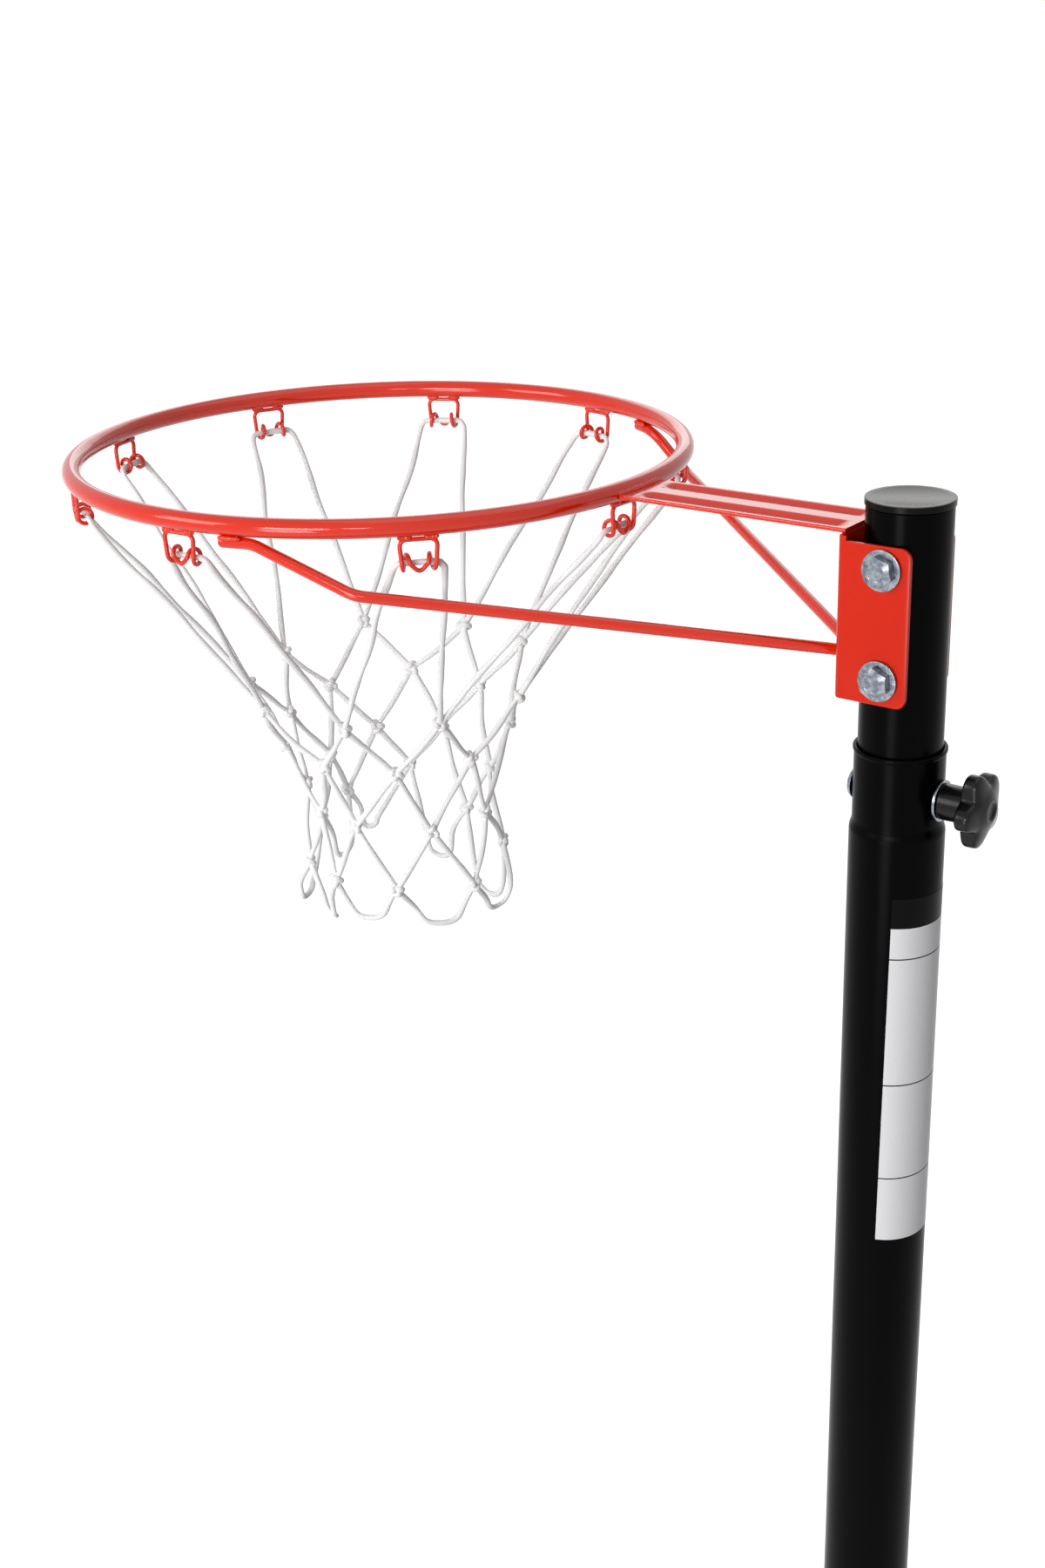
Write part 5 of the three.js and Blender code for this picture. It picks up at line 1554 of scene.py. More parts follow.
@dataclass
class Net:
    """The knotted net: nine long cords over the hooks, four rows of knots and nine free loops.

    Angles, radii and drops hold a row for each level, and sides the two widest places of each free loop.
    """

    fibre: Coat
    cord: float = 1.9
    spacing: float = 2.2
    waver: float = 0.8
    seat: Pair = (190.85, -22.75)
    drape: float = 3.0
    hollow: float = 2.0
    bow: float = 1.8
    sag: float = 0.8
    tuck: Triple = (0.62, 0.62, 0.2)
    knot_size: float = 1.26
    knot_flat: float = 0.86
    knot_deep: float = 1.5
    rows: int = 4
    hooks: tuple[float, ...] = GoalRing.hooks
    angles: Rows = (
        (-31.8, -68.0, -106.6, -146.0, -182.1, -218.5, -261.7, -300.3, -346.2),
        (-9.9, -50.3, -84.8, -123.5, -166.0, -197.9, -238.9, -278.6, -323.0),
        (-31.9, -73.4, -103.7, -149.8, -187.9, -218.9, -256.9, -302.1, -349.3),
        (-7.9, -52.8, -87.5, -122.9, -172.9, -200.3, -236.1, -275.7, -324.5),
        (-25.1, -71.0, -99.9, -142.6, -187.7, -210.0, -258.5, -307.5, -343.2))
    radii: Rows = (
        (94.8, 99.9, 100.0, 96.9, 101.5, 99.8, 96.8, 94.3, 92.4),
        (75.9, 81.9, 81.6, 76.9, 81.1, 85.2, 82.0, 79.9, 78.1),
        (68.5, 71.4, 64.6, 64.1, 70.7, 73.9, 71.0, 66.9, 66.2),
        (71.9, 72.5, 72.7, 65.7, 66.3, 75.8, 75.7, 65.4, 70.3),
        (64.7, 65.7, 61.4, 68.7, 65.4, 72.8, 62.7, 63.5, 68.3))
    drops: Rows = (
        (156.9, 156.1, 154.7, 158.5, 157.0, 145.4, 148.0, 144.4, 158.0),
        (193.9, 193.1, 191.0, 191.7, 189.3, 183.7, 176.6, 181.1, 188.8),
        (241.5, 235.0, 234.5, 232.3, 228.5, 216.6, 214.6, 231.4, 242.8),
        (286.2, 279.4, 276.1, 278.5, 267.4, 261.1, 247.3, 271.8, 275.6),
        (311.3, 303.3, 311.3, 314.8, 305.2, 292.3, 312.6, 326.0, 316.4))
    sides: tuple[tuple[Place, Place], ...] = (
        ((-13.1, 69.6, 298.8), (-44.0, 62.2, 297.2)), ((-57.9, 64.7, 291.2), (-82.1, 69.7, 292.0)),
        ((-98.3, 66.3, 295.0), (-110.6, 62.9, 296.0)), ((-137.2, 71.3, 299.4), (-150.1, 64.0, 306.5)),
        ((176.6, 67.0, 287.2), (164.6, 64.5, 292.6)), ((152.7, 75.5, 276.1), (142.9, 70.7, 281.6)),
        ((112.8, 60.8, 300.3), (96.0, 65.5, 292.0)), ((64.6, 56.1, 311.6), (46.2, 71.4, 305.7)),
        ((25.9, 75.9, 298.9), (7.3, 66.1, 304.9)))

    def knot(self, row: int, column: int) -> Array:
        """A knot's place by row and column."""
        number = column % len(self.hooks)
        return round_ring(self.angles[row][number], self.radii[row][number], -self.drops[row][number])

    def thickness(self, line: Array, seed: float) -> Array:
        """The cord's radius along a line: two waves stand for the uneven pull of its knots.

        Args:
            line: The cord's own points.
            seed: Starts the waves.

        Returns:
            A radius for each point, in metres.
        """
        length = np.arange(len(line)) * self.spacing * MM
        pull = 0.11 * np.sin(length * 120.0 + seed) + 0.04 * np.sin(length * 260.0 + 2 * seed)
        return self.cord * MM * (1.0 + pull)

    def strand(self, skin: Skin, line: Array, seed: float) -> None:
        """A strand along a line, with a slight waver across it that fades at its ends.

        Args:
            skin: Where the faces go.
            line: Places that the strand passes.
            seed: Starts its waver, so that strands differ.
        """
        curve = smooth_line(line, self.spacing * MM)
        share = ramp(len(curve))[:, None]
        length = share * len(curve) * self.spacing * MM
        hold = np.sin(np.pi * share) ** 0.5
        waver = np.concatenate([np.sin(length * 70.0 + seed), np.cos(length * 83.0 + 1.7 * seed),
                                0.3 * np.sin(length * 60.0 + 2.9 * seed)], 1)
        rod(skin, curve + waver * hold * (self.waver * MM), self.thickness(curve, seed), 12)

    def hook_cord(self, column: int) -> Array:
        """The long cord over one hook, from the knot on its right down to the knot on its left.

        Args:
            column: The hook's number from 0.

        Returns:
            Places that the cord passes.
        """
        half, drape = GoalRing.half_foot, self.drape
        local = np.array([[0.0, 0.0, 0.3], [half * 0.6, 0.0, 0.1], [half + 0.6 * drape, 0.0, 0.0],
                          [half + 1.5 * drape, -0.4 * drape, -0.8 * drape],
                          [half + 2.1 * drape, -1.9 * drape, -3.0 * drape]])
        right, left = self.knot(0, column - 1), self.knot(0, column)
        sides = []
        for sign, target in ((1.0, right), (-1.0, left)):
            placed = (local * [sign, 1.0, 1.0] + [0.0, *self.seat]) * MM
            points = at_hook(placed, self.hooks[column])
            last = points[-1]
            out = outward((last + target) / 2.0) * (self.hollow * MM)
            thirds = [last + (target - last) * share - out * np.sin(np.pi * share) for share in (0.33, 0.67)]
            sides.append(np.concatenate([points, thirds, [target]]))
        return np.concatenate([sides[0][::-1], sides[1][1:]])

    def mesh_side(self, start: Array, end: Array, seed: float) -> Array:
        """Three places of a strand between two knots, its middle bowed out and sagging.

        Args:
            start: The knot above.
            end: The knot below.
            seed: Starts its bow, so that strands differ.

        Returns:
            Places that the strand passes.
        """
        middle = (start + end) / 2.0
        bow = self.bow * MM * np.sin(seed)
        return np.stack([start, middle + outward(middle) * bow - UP * (self.sag * MM), end])

    def loop(self, column: int) -> Array:
        """A free loop: knot, side, lowest point with its round turns, other side, next knot.

        Args:
            column: The loop's number from 0.

        Returns:
            Places that the cord passes.
        """
        first, second = (round_ring(angle, radius, -drop) for angle, radius, drop in self.sides[column])
        low = self.knot(self.rows, column)
        turns = [low + (side - low) * self.tuck for side in (first, second)]
        last = self.rows - 1
        return np.stack([self.knot(last, column), first, turns[0], low, turns[1], second,
                         self.knot(last, column + 1)])

    def tie(self, skin: Skin, row: int, column: int) -> None:
        """A knot: one cord wound as a trefoil, flattened and turned to face outward.

        Args:
            skin: Where the faces go.
            row: Its row.
            column: Its column.
        """
        t = circle(60)
        flat = np.stack([np.sin(t) + 2.0 * np.sin(2.0 * t), np.cos(t) - 2.0 * np.cos(2.0 * t),
                         -np.sin(3.0 * t)], 1)
        place = self.knot(row, column)
        out = outward(place)
        turn = 1.3 * row + 2.1 * column
        first = np.cos(turn) * np.cross(UP, out) + np.sin(turn) * UP
        second = np.cross(out, first)
        size = self.knot_size + 0.12 * np.sin(2.3 * column + row)
        wound = flat[:, :1] * first + flat[:, 1:2] * second * self.knot_flat + flat[:, 2:] * out * self.knot_deep
        grid, uv = swept(place + wound * size * MM, self.cord * 1.02 * MM, 12, loop=True)
        skin.sheet(grid, across=True, along=True, uv=uv)

    def build(self) -> None:
        """Makes the whole net as one piece."""
        skin = Skin()
        for column in range(len(self.hooks)):
            self.strand(skin, self.hook_cord(column), 0.9 * column)
            for row in range(self.rows - 1):
                step = 1 if row % 2 == 0 else -1
                for other in (column, column + step):
                    side = self.mesh_side(self.knot(row, column), self.knot(row + 1, other),
                                          3.7 * row + 2.9 * column + other)
                    self.strand(skin, side, row + 1.3 * column + 0.7 * other)
            self.strand(skin, self.loop(column), 4.0 + column)
            for row in range(self.rows):
                self.tie(skin, row, column)
        skin.show("knotted_net", self.fibre, Body.HEAD, "net", sharp=80.0)


@dataclass
class BallastTank:
    """The blow moulded tank: a rounded box with a pole collar, grooves, wheel pockets and a filler neck."""

    plastic: Coat
    front: float = 112.0
    back: float = 648.0
    half_width: float = 260.0
    height: float = 150.0
    corner: float = 70.0
    draft: float = 22.0
    edge: float = 12.0
    foot: float = 5.0
    underside: float = 40.0
    wall_heights: tuple[float, ...] = (20.0, 45.0, 72.0, 73.6, 75.2, 76.8, 100.0, 125.0)
    ridge: Triple = (74.4, 1.2, 0.7)
    spine: Pair = (150.0, 380.0)
    root: float = 75.0
    collar: float = 48.0
    collar_height: float = 26.0
    groove_start: float = 125.0
    groove_length: float = 150.0
    groove_half: float = 13.0
    groove_depth: float = 7.0
    groove_slope: float = 6.0
    grooves: tuple[float, ...] = (-75.0, 0.0, 75.0)
    filler: float = 455.0
    filler_radius: float = 23.0
    filler_bore: float = 17.0
    filler_depth: float = 90.0
    filler_pitch: float = 4.0
    filler_thread: float = 0.9
    strut: Pair = (560.0, 165.0)
    pad: float = 22.6
    pad_height: float = 3.0
    bolt_hole: Triple = (4.4, 120.0, 160.0)
    axle: Pair = (-58.0, 58.0)
    axle_bore: Pair = (6.3, 264.0)
    room: float = 58.0
    pocket: Pair = (221.7, 268.0)
    under: float = -4.0
    beyond: float = 6.0
    grip: Triple = (26.0, 60.0, 34.0)
    pole: float = 27.8
    socket_floor: float = 24.4
    socket_mouth: Triple = (174.0, 178.0, 2.4)

    def outline(self, inset: float, count: int = 26) -> Array:
        """The rounded rectangle drawn in by an inset: arcs of corner less inset, with fine straight sides.

        Args:
            inset: How far it is drawn in.
            count: Half the steps of each straight side.

        Returns:
            Its points, once round.
        """
        angle = np.radians(np.linspace(0.0, 90.0, 14))
        radius = self.corner - inset
        arc = radius * np.stack([np.cos(angle), np.sin(angle)], 1)
        x0, x1 = -self.front + self.corner, self.back - self.corner
        side = self.half_width - self.corner
        turns = [np.array([[x1, side]]) + arc, np.array([[x0, side]]) + arc[::-1] * [-1.0, 1.0],
                 np.array([[x0, -side]]) - arc, np.array([[x1, -side]]) + arc[::-1] * [1.0, -1.0]]
        share = ramp(count * 2)[1:-1, None]
        out = []
        for turn, following in zip(turns, turns[1:] + turns[:1]):
            out += [turn, turn[-1] + (following[0] - turn[-1]) * share]
        return np.concatenate(out)

    def side_rows(self) -> list[Pair]:
        """Inset and height up the side: foot, drafted wall with its parting ridge, rounded top edge.

        Returns:
            A pair for each row.
        """
        wall = self.draft - self.edge / 2.0
        top = self.height - self.edge
        rows = [(self.foot + self.underside, 0.0), (self.foot, 0.0), (self.foot * 0.3, self.foot * 0.3),
                (0.0, self.foot)]
        heights = np.array(self.wall_heights)
        middle, half, rise = self.ridge
        ridge = np.where(np.abs(heights - middle) < half, -rise, 0.0)
        slope = wall * (heights - self.foot) / (top - self.foot)
        rows += list(zip(slope + ridge, heights))
        angle = np.linspace(0.0, QUARTER, 9)
        rows += list(zip(wall + (self.edge + 2.4) * (1.0 - np.cos(angle)), top + self.edge * np.sin(angle)))
        return rows

    def deck_height(self, x: Array, y: Array) -> Array:
        """The deck with its grooves: depth times a smooth step of how far a point lies inside a groove.

        Args:
            x: Places along the tank.
            y: Places across it.

        Returns:
            The deck's height at each place.
        """
        z = np.full(x.shape, self.height)
        for middle in self.grooves:
            along = np.clip(x, self.groove_start, self.groove_start + self.groove_length)
            inside = (self.groove_half - np.hypot(x - along, y - middle)) / self.groove_slope
            z = z - self.groove_depth * eased(np.clip(inside, 0.0, 1.0))
        return z

    def shell(self) -> Piece:
        """The closed tank before its holes: sides from the outline, deck and underside drawn in to a line.

        Returns:
            A bare closed piece.
        """
        rows = [np.column_stack([flat, np.full(len(flat), z)])
                for flat, z in ((self.outline(inset), z) for inset, z in self.side_rows())]
        edge, foot = rows[-1][:, :2], rows[0][:, :2]
        spine = np.column_stack([np.clip(edge[:, 0], *self.spine), 0.0 * edge[:, 0]])
        deck = [edge + (spine - edge) * share for share in ramp(66)[1:]]
        rows += [np.column_stack([flat, self.deck_height(flat[:, 0], flat[:, 1])]) for flat in deck]
        low = np.column_stack([np.clip(foot[:, 0], *self.spine), 0.0 * foot[:, 0], 0.0 * foot[:, 0]])
        return solid(np.stack([low, *rows]) * MM)

    def collar_grid(self) -> Array:
        """The collar round the pole: a fillet at the deck, a tapered wall and a rounded rim.

        Returns:
            A closed grid.
        """
        top = self.height + self.collar_height
        wall, deck = self.collar, self.height
        line = rounded(mm((0.0, self.root), (wall + 5.0, self.root), (wall + 5.0, deck - 2.0),
                          (wall, deck + 3.0), (wall - 5.0, top - 4.0), (wall - 10.0, top), (0.0, top)),
                       [0.0, 0.0, 0.004, 0.003, 0.004], 6)
        return turned(line, 96)

    def neck_grid(self) -> Array:
        """The filler neck: its wall carries a coarse thread, a ridge that climbs one pitch each turn.

        Returns:
            A closed grid about Z.
        """
        angle = circle(72)[None]
        z = np.linspace(self.height - 3.0, self.height + 13.4, 44)[:, None]
        fade = (np.clip((z - self.height - 1.0) / 3.0, 0.0, 1.0)
                * np.clip((self.height + 12.6 - z) / 2.0, 0.0, 1.0))
        ridge = np.clip(climb(z, angle, self.filler_pitch) * 2.2 - 1.0, 0.0, 1.0)
        body = about_z(self.filler_radius - self.filler_thread + self.filler_thread * ridge * fade, angle, z)
        top = self.height + 14.0
        ends = [np.concatenate([body[:1, :, :2] * share, np.full((1, angle.size, 1), level)], -1)
                for share, level in ((0.0, self.root), (1.0, self.root), (0.97, top), (0.0, top))]
        return np.concatenate([*ends[:2], body, *ends[2:]]) * MM

    def pockets(self) -> list[Piece]:
        """The wheels' rooms: a round one about the axle, opened forward and downward.

        Returns:
            Closed tools, three for each side.
        """
        x, z = self.axle
        middle, front = at(x, 0.0, z), -self.front - self.beyond
        out = []
        for side in (-1.0, 1.0):
            y0, y1 = sorted(side * y for y in self.pocket)
            out += [solid(along_y(bar(self.room, y0, y1, 96)) + middle),
                    solid(box((front, y0, self.under), (x, y1, z + self.room))),
                    solid(box((front, y0, self.under), (x + self.room, y1, z)))]
        return out

    def tools(self) -> list[Piece]:
        """The cutting tools: socket, filler well, axle bore, wheel pockets, grip and bolt holes.

        Returns:
            Closed tools.
        """
        bore, mouth, rim = self.filler_bore, self.height + 15.0, self.pole
        well = mm((0.0, self.filler_depth), (bore, self.filler_depth), (bore, mouth - 2.0), (bore + 1.2, mouth),
                  (0.0, mouth))
        start, end, wider = self.socket_mouth
        low = self.socket_floor
        socket = mm((0.0, low), (rim, low), (rim, start), (rim + wider, end), (0.0, end))
        radius, reach = self.axle_bore
        x, z = self.axle
        deep, half, high = self.grip
        out = [solid(turned(socket, 84)), solid(turned(well, 72) + at(self.filler, 0.0, 0.0)),
               solid(along_y(bar(radius, -reach, reach, 36)) + at(x, 0.0, z)), *self.pockets(),
               solid(box((self.back - deep, -half, self.under), (self.back - self.under, half, high)))]
        return out + [solid(bar(*self.bolt_hole, 24) + place) for place in self.strut_feet()]

    def strut_feet(self) -> list[Array]:
        """Where the struts stand, right and left."""
        return [at(self.strut[0], side * self.strut[1], 0.0) for side in (-1.0, 1.0)]

    def build(self) -> None:
        """Joins collar, neck and strut pads to the shell, cuts every opening and dresses it."""
        edge, top = self.height - 1.0, self.height + self.pad_height
        pad = turned(rounded(mm((0.0, self.root), (self.pad, self.root), (self.pad, edge), (self.pad - 1.0, top),
                                (0.0, top)), [0.0, 0.001, 0.0015], 5), 56)
        pads = [solid(pad + place) for place in self.strut_feet()]
        neck = solid(self.neck_grid() + at(self.filler, 0.0, 0.0))
        made = combined(self.shell(), [solid(self.collar_grid()), neck, *pads], "UNION")
        made = combined(made, self.tools(), "DIFFERENCE")
        show_carved(made, "ballast_tank", self.plastic, Body.STAND, "base_tank", 34.0)


@dataclass
class FillerCap:
    """The filler's screw cap with a ribbed skirt, and the sealing washer under its top."""

    plastic: Coat
    rubber: Coat
    place: float = 455.0
    radius: float = 30.0
    bore: float = 23.5
    low: float = 150.3
    seat: float = 166.6
    top: float = 169.6
    dish: Triple = (20.5, 19.5, 0.8)
    ribs: int = 24
    rib_depth: float = 1.3
    rib_start: float = 27.0
    seal: Triple = (17.0, 22.5, 2.0)
    seal_edge: float = 0.5
    seal_seat: float = 164.3

    def build(self) -> None:
        """Makes cap and seal: the skirt's radius falls between its ribs as a cosine to the power 1.6."""
        wide, narrow, deep = self.dish
        floor = self.top - deep
        outline = rounded(mm((self.bore, self.low), (self.radius, self.low), (self.radius - 0.6, self.top),
                             (wide, self.top), (narrow, floor), (0.0, floor)), [0.6 * MM, 2.2 * MM, 0.0, 0.0], 7)
        inner = np.array([[0.0, self.seat], [self.bore, self.seat], [self.bore, self.low]])
        line = np.concatenate([outline / MM, inner])
        radius, z = line[:, :1], line[:, 1:]
        ribbed = np.clip((radius - self.rib_start) / 2.0, 0.0, 1.0) * np.clip((self.top - z) / 2.5, 0.0, 1.0)
        angle = circle(288)[None]
        wave = 0.5 - 0.5 * np.cos(self.ribs * angle)
        cap = about_z(radius - self.rib_depth * ribbed * wave ** 1.6, angle, z) * MM
        shift = at(self.place, 0.0, 0.0)
        Skin(cap + shift).show("screw_cap", self.plastic, Body.FILLER_CAP, "filler_cap", sharp=34.0)
        ring = washer_ring(*self.seal, self.seal_edge) + shift + at(0.0, 0.0, self.seal_seat)
        Skin(ring).show("sealing_washer", self.rubber, Body.STAND, "filler_seal")


@dataclass
class Wheels:
    """Two moulded wheels with ribbed discs, their axle and its push-on caps.

    The tread's rows hold how far it lies under the tyre's radius, and its place from the wheel's middle.
    """

    plastic: Coat
    zinc: Coat
    place: Pair = (-58.0, 58.0)
    centre: float = 239.0
    tyre: float = 50.0
    half: float = 14.0
    hub: float = 17.0
    hub_half: float = 17.0
    bore: float = 6.3
    rim: float = 41.0
    disc: float = 4.0
    flank: float = 1.5
    tread: Rows = ((0.0, 9.2), (1.4, 8.6), (1.4, 7.4), (0.0, 6.8), (0.0, 2.2),
                                              (1.4, 1.6), (1.4, 0.6))
    spokes: int = 6
    spoke_half: float = 3.4
    spoke_slope: float = 1.2
    spoke_rise: float = 5.0
    axle: float = 6.0
    axle_half: float = 261.5
    axle_chamfer: float = 0.8
    cap_seat: float = 256.3
    cap: float = 12.0
    cap_depth: float = 7.0
    cap_rim: float = 1.6
    cap_bore: Pair = (6.3, 5.5)

    def profile(self) -> Array:
        """One face's line of radius and height: hub, recess, rim and half of the grooved tread.

        Returns:
            Its points, in metres.
        """
        low, high = self.hub + self.flank, self.rim - self.flank
        face = rounded(mm((self.bore, self.hub_half), (self.hub, self.hub_half), (low, self.disc)),
                       [0.8 * MM], 5)
        recess = np.stack([np.linspace(low, high, 26), np.full(26, self.disc)], 1) * MM
        rim = rounded(mm((high, self.disc), (self.rim, self.half), (self.tyre - 1.5, self.half),
                         (self.tyre, self.half - 4.5)), [1.0 * MM, 2.2 * MM], 6)
        tread = mm(*[(self.tyre - under, place) for under, place in self.tread])
        return np.concatenate([face[:-1], recess, rim[1:], tread])

    def wheel(self) -> Array:
        """The whole wheel about Z; ribs rise from the discs where a point lies within a spoke's width.

        Returns:
            A closed grid, in metres.
        """
        half = self.profile()
        line = np.concatenate([half, half[::-1] * [1.0, -1.0], half[:1]]) / MM
        angle = circle(240)[None]
        radius, z = line[:, :1], line[:, 1:]
        off = np.abs((angle * self.spokes / TURN) % 1.0 - 0.5) * TURN / self.spokes
        near = np.clip((self.spoke_half - off * radius) / self.spoke_slope, 0.0, 1.0)
        flank = self.flank - 0.1
        inside = (radius > self.hub + flank) & (radius < self.rim - flank)
        recess = (np.abs(np.abs(z) - self.disc) < 0.01) & inside
        return about_z(radius, angle, z + np.sign(z) * self.spoke_rise * eased(near) * recess) * MM

    def build(self) -> None:
        """Makes the wheels, the axle and the caps."""
        place = at(self.place[0], 0.0, self.place[1])
        end, start = self.axle_half, self.axle_half - self.axle_chamfer
        narrow = self.axle - self.axle_chamfer
        line = mm((0.0, -end), (narrow, -end), (self.axle, -start), (self.axle, start), (narrow, end),
                  (0.0, end))
        axle = along_y(turned(line, 48)) + place
        Skin(axle).show("axle_rod", self.zinc, Body.STAND, "axle", sharp=30.0)
        curve = np.linspace(0.0, QUARTER, 12)[:, None]
        dome = np.concatenate([self.cap * np.sin(curve),
                               self.cap_rim + (self.cap_depth - self.cap_rim) * np.cos(curve)], 1)
        bore, deep = self.cap_bore
        wall = np.array([[self.cap, 0.0], [bore, 0.0], [bore, deep], [0.0, deep]])
        cap = turned(np.concatenate([dome, wall]) * MM, 56)
        for word, side, body in (("left", 1.0, Body.WHEEL_LEFT), ("right", -1.0, Body.WHEEL_RIGHT)):
            wheel = along_y(self.wheel(), side) + (place + at(0.0, side * self.centre, 0.0))
            Skin(wheel).show(f"moulded_wheel_{word}", self.plastic, body, f"wheel_{word}", sharp=32.0)
            seated = along_y(cap, side) + (place + at(0.0, side * self.cap_seat, 0.0))
            Skin(seated).show(f"push_on_cap_{word}", self.zinc, Body.STAND, f"axle_cap_{word}", sharp=34.0)


@dataclass
class Struts:
    """Two tube struts with pressed ends, the through bolt at the pole and a bolt each at the tank."""

    black: Coat
    zinc: Coat
    top: Place = (0.0, 29.8, 640.0)
    foot: Place = (560.0, 165.0, 155.3)
    flat: float = 4.0
    flat_width: float = 27.0
    flat_length: float = 17.0
    flat_round: float = 7.0
    tip_share: float = 0.55
    taper: float = 26.0
    tube: float = 10.0
    square: float = 0.35
    hole: float = 4.4
    hole_half: float = 5.0
    bolt: float = 4.0
    bolt_tip: Triple = (3.4, 34.0, 35.0)
    bolt_end: float = 9.5
    pitch: float = 1.25
    hexagon: float = 13.0
    head: float = 5.3
    nut: float = 6.5
    nut_dish: float = 0.25
    washer: float = 9.0
    washer_sheet: float = 1.6

    def tube_grid(self, side: float) -> Array:
        """The strut: a section |a|^n + |b|^n = 1 whose widths and n pass smoothly from flat ends to round.

        Args:
            side: 1 for the left strut, -1 for the right one.

        Returns:
            A closed grid, in metres.
        """
        turn = np.array([1.0, side, 1.0])
        top, foot = np.array(self.top) * turn, np.array(self.foot) * turn
        fall = unit(np.array([foot[0], 0.0, foot[2] - top[2]]))
        level = unit(np.array([foot[0] - top[0], foot[1] - top[1], 0.0]))
        first, last = top + fall * self.flat_length, foot - level * self.flat_length
        run = unit(last - first)
        quarter = ramp(9) * QUARTER
        tip = self.tip_share + (1.0 - self.tip_share) * np.sin(quarter)
        back = self.flat_length - self.flat_round * (1.0 - np.cos(quarter))
        thin, wide, tube = self.flat / 2.0, self.flat_width / 2.0, self.tube
        share = ramp(14)[:, None]
        ease, taper = eased(share), run * self.taper
        straight = first + taper + (last - first - 2.0 * taper) * ramp(12)[1:-1, None]
        upper, lower = top - fall * back[:, None], foot + level * back[::-1, None]
        places = [upper, first + taper * share, straight, last - taper * (1.0 - share), lower]
        ways = [fall + 0.0 * upper, fall + (run - fall) * ease, run + 0.0 * straight, run + (level - run) * ease,
                level + 0.0 * lower]
        ease, ends, middle = ease[:, 0], np.full(len(upper), thin), np.full(len(straight), tube)
        tall = [wide * tip, wide + (tube - wide) * ease, middle, tube + (thin - tube) * ease, ends]
        deep = [ends, thin + (tube - thin) * ease, middle, tube + (wide - tube) * ease, wide * tip[::-1]]
        centre, way = np.concatenate(places), unit(np.concatenate(ways))
        up = unit(UP - way * way[:, 2:])
        across = np.cross(up, way)
        one, two = np.concatenate(tall)[:, None], np.concatenate(deep)[:, None]
        power = np.clip(2.0 * np.minimum(one, two) / np.maximum(one, two), self.square, 1.0)
        angle = circle(48)[None]
        a = np.sign(np.cos(angle)) * np.abs(np.cos(angle)) ** power * one
        b = np.sign(np.sin(angle)) * np.abs(np.sin(angle)) ** power * two
        grid = centre[:, None] + up[:, None] * a[..., None] + across[:, None] * b[..., None]
        shut = [np.broadcast_to(grid[k].mean(0), grid[k].shape)[None] for k in (0, -1)]
        return np.concatenate([shut[0], grid, shut[1]]) * MM

    def build(self) -> None:
        """Makes the struts, bored for their bolts, and the bolts, washers and nut."""
        hole = bar(self.hole, -self.hole_half, self.hole_half, 24)
        washer = washer_ring(self.hole, self.washer, self.washer_sheet)
        head = hex_head(self.hexagon, self.head)
        tip, start, end = self.bolt_tip
        shank = turned(mm((0.0, -end), (tip, -end), (self.bolt, -start), (self.bolt, 0.0), (0.0, 0.0)), 32)
        for word, side in (("left", 1.0), ("right", -1.0)):
            turn = np.array([1.0, side, 1.0])
            top, foot = np.array(self.top) * turn * MM, np.array(self.foot) * turn * MM
            made = combined(solid(self.tube_grid(side)), [solid(along_y(hole) + top), solid(hole + foot)],
                            "DIFFERENCE")
            show_carved(made, f"pressed_strut_{word}", self.black, Body.STAND, f"strut_{word}", 30.0)
            seat = foot + at(0.0, 0.0, self.flat / 2.0 + GAP)
            Skin(washer + seat).show(f"foot_washer_{word}", self.zinc, Body.STAND, f"strut_washer_{word}")
            face = seat + at(0.0, 0.0, self.washer_sheet + GAP)
            bolt = Skin(head + face, shank + face)
            bolt.show(f"foot_bolt_{word}", self.zinc, Body.STAND, f"strut_foot_bolt_{word}", sharp=25.0)
        self.through_bolt()

    def through_bolt(self) -> None:
        """The bolt through both struts and the pole, and its nut."""
        height = at(0.0, 0.0, self.top[2])
        face = self.top[1] + self.flat / 2.0 + GAP
        lift = at(0.0, 0.0, face)
        bolt = Skin(along_y(hex_head(self.hexagon, self.head) + lift, -1.0) + height,
                    along_y(bar(self.bolt, -face, face, 32)) + height,
                    along_y(thread(self.bolt, face, face + self.bolt_end, self.pitch)) + height)
        bolt.show("strut_through_bolt", self.zinc, Body.STAND, "strut_bolt", sharp=25.0)
        nut = hex_nut(self.hexagon, self.nut, self.bolt + GAP, self.nut_dish)
        Skin(along_y(nut + lift) + height).show("strut_hex_nut", self.zinc, Body.STAND, "strut_nut", sharp=25.0)


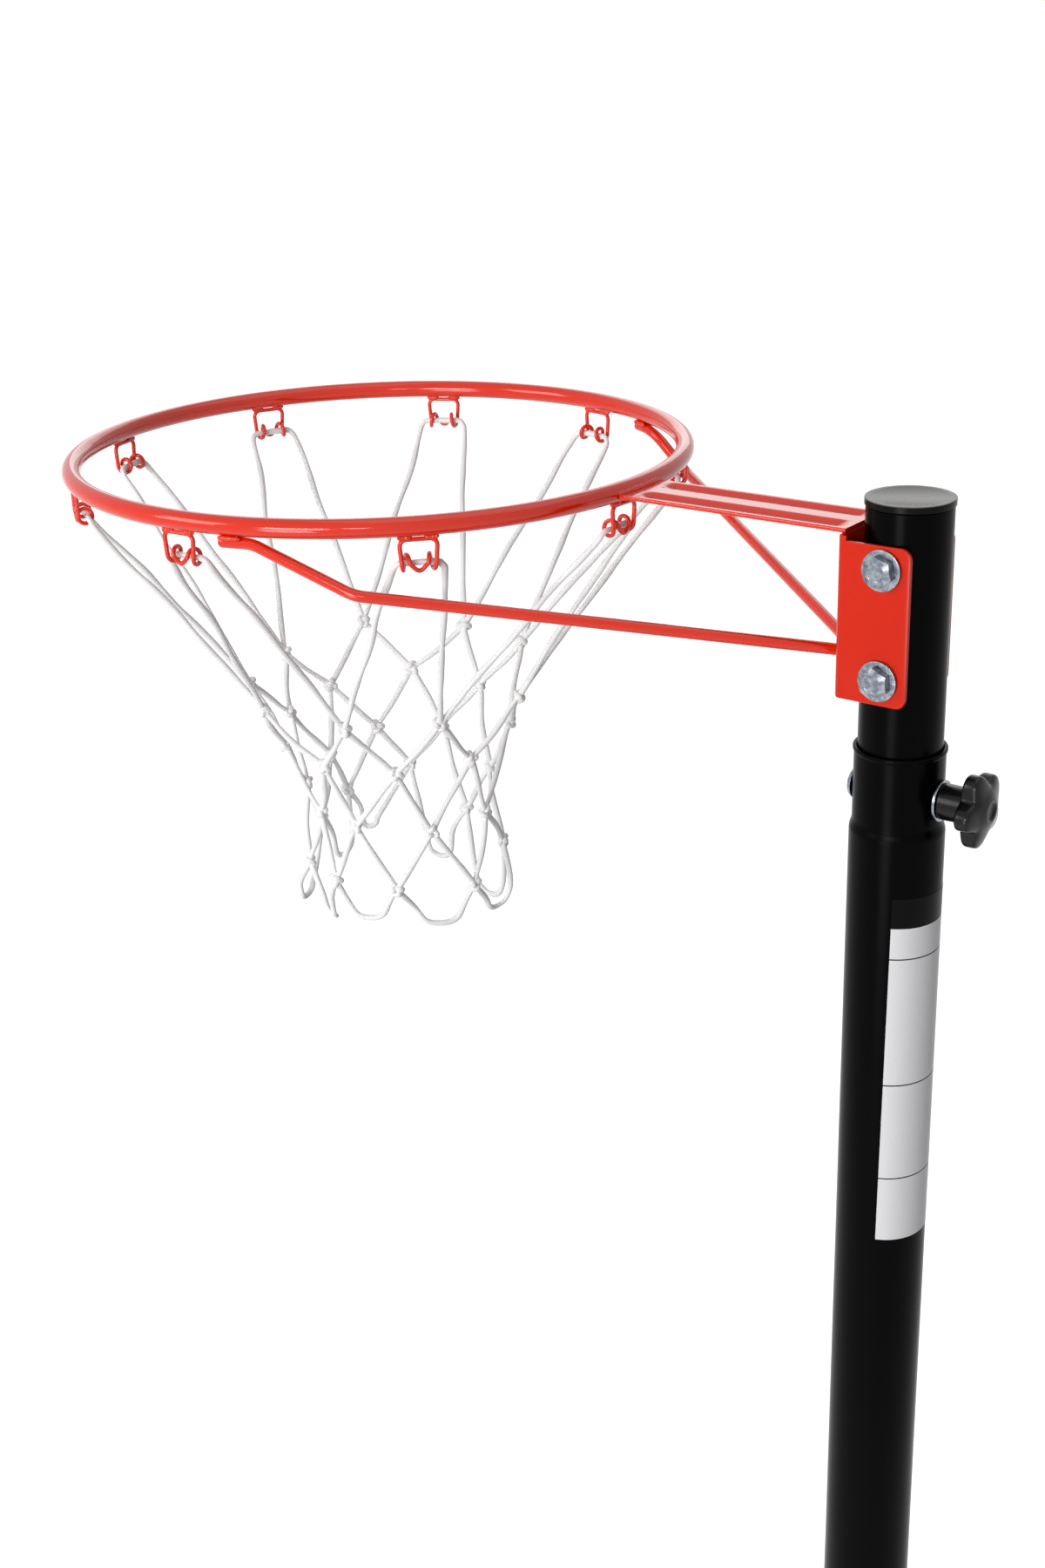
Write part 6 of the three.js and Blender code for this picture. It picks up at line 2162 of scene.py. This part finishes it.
@dataclass
class PoleFittings:
    """The screw that locks the two lower poles, and the plug in the bottom pole's foot.

    A row of the plug's outline holds a radius and a height.
    """

    zinc: Coat
    plastic: Coat
    height: float = 1229.5
    seat: float = 27.8
    head: float = 5.5
    dome: float = 3.2
    recess_half: float = 0.75
    recess_radius: float = 3.1
    recess_depth: float = 1.5
    shank: float = 2.75
    tip: float = 20.0
    tip_chamfer: float = 0.8
    plug: Rows = (
        (0.0, 24.7), (26.7, 24.7), (27.5, 25.5), (27.5, 27.7), (25.7, 27.7), (25.5, 43.7), (24.2, 43.7),
        (24.2, 27.7), (0.0, 27.7))

    def build(self) -> None:
        """Makes the pan head screw with its cross recess, and the plug."""
        place = at(0.0, 0.0, self.height)
        angle = circle(96)[None]
        share = ramp(26)[:, None]
        r = self.head * share
        least = np.minimum(np.abs(r * np.cos(angle)), np.abs(r * np.sin(angle)))
        cross = (np.clip((self.recess_half - least) / 0.3, 0.0, 1.0)
                 * np.clip((self.recess_radius - r) / 0.4, 0.0, 1.0))
        height = self.seat + self.dome * (1.0 - share ** 4) ** 0.5 - self.recess_depth * cross
        top = about_z(r, angle, height) * MM
        under = mm((self.head, self.seat), (self.shank, self.seat), (self.shank, self.tip + self.tip_chamfer),
                   (self.shank - self.tip_chamfer, self.tip), (0.0, self.tip))
        screw = Skin(along_x(top) + place, along_x(turned(under, 96)) + place)
        screw.show("pan_screw", self.zinc, Body.STAND, "lock_screw", sharp=35.0)
        Skin(turned(mm(*self.plug), 72)).show("foot_plug", self.plastic, Body.STAND, "pole_plug", sharp=35.0)


def main() -> None:
    """Builds every sub-assembly round the frame and reports the pieces."""
    logging.basicConfig(level=logging.INFO, format="%(name)s %(message)s")
    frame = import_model()
    bpy.context.scene.view_settings.view_transform = "Standard"
    Studio().build()
    coats = {slot: Coat(finish.material(), slot) for slot, finish in FINISHES.items()}
    for row in frame["record"]["subparts"]:
        node = frame["nodes"][row["node"]]
        node.data.materials.clear()
        node.data.materials.append(coats[row["material_slot"]].material)
    red, black, zinc = coats["red_paint"], coats["black_paint"], coats["zinc"]
    GoalRing(red).build()
    RingArm(red).build()
    VBrace(red).build()
    # The bracket wears the darker copy of the red paint: painted shade.
    PoleBracket(Coat(SHADED_RED.material(), red.slot)).build()
    RingBolts(zinc).build()
    Net(coats["net_cord"]).build()
    Poles(black, coats["cap_plastic"]).build()
    Clamp(zinc, coats["black_plastic"]).build()
    PoleLabel(Coat(Vinyl().material())).build()
    BallastTank(coats["tank_plastic"]).build()
    FillerCap(coats["cap_plastic"], coats["seal_rubber"]).build()
    Wheels(coats["wheel_plastic"], zinc).build()
    Struts(black, zinc).build()
    PoleFittings(zinc, coats["black_plastic"]).build()


if __name__ == "__main__":
    main()
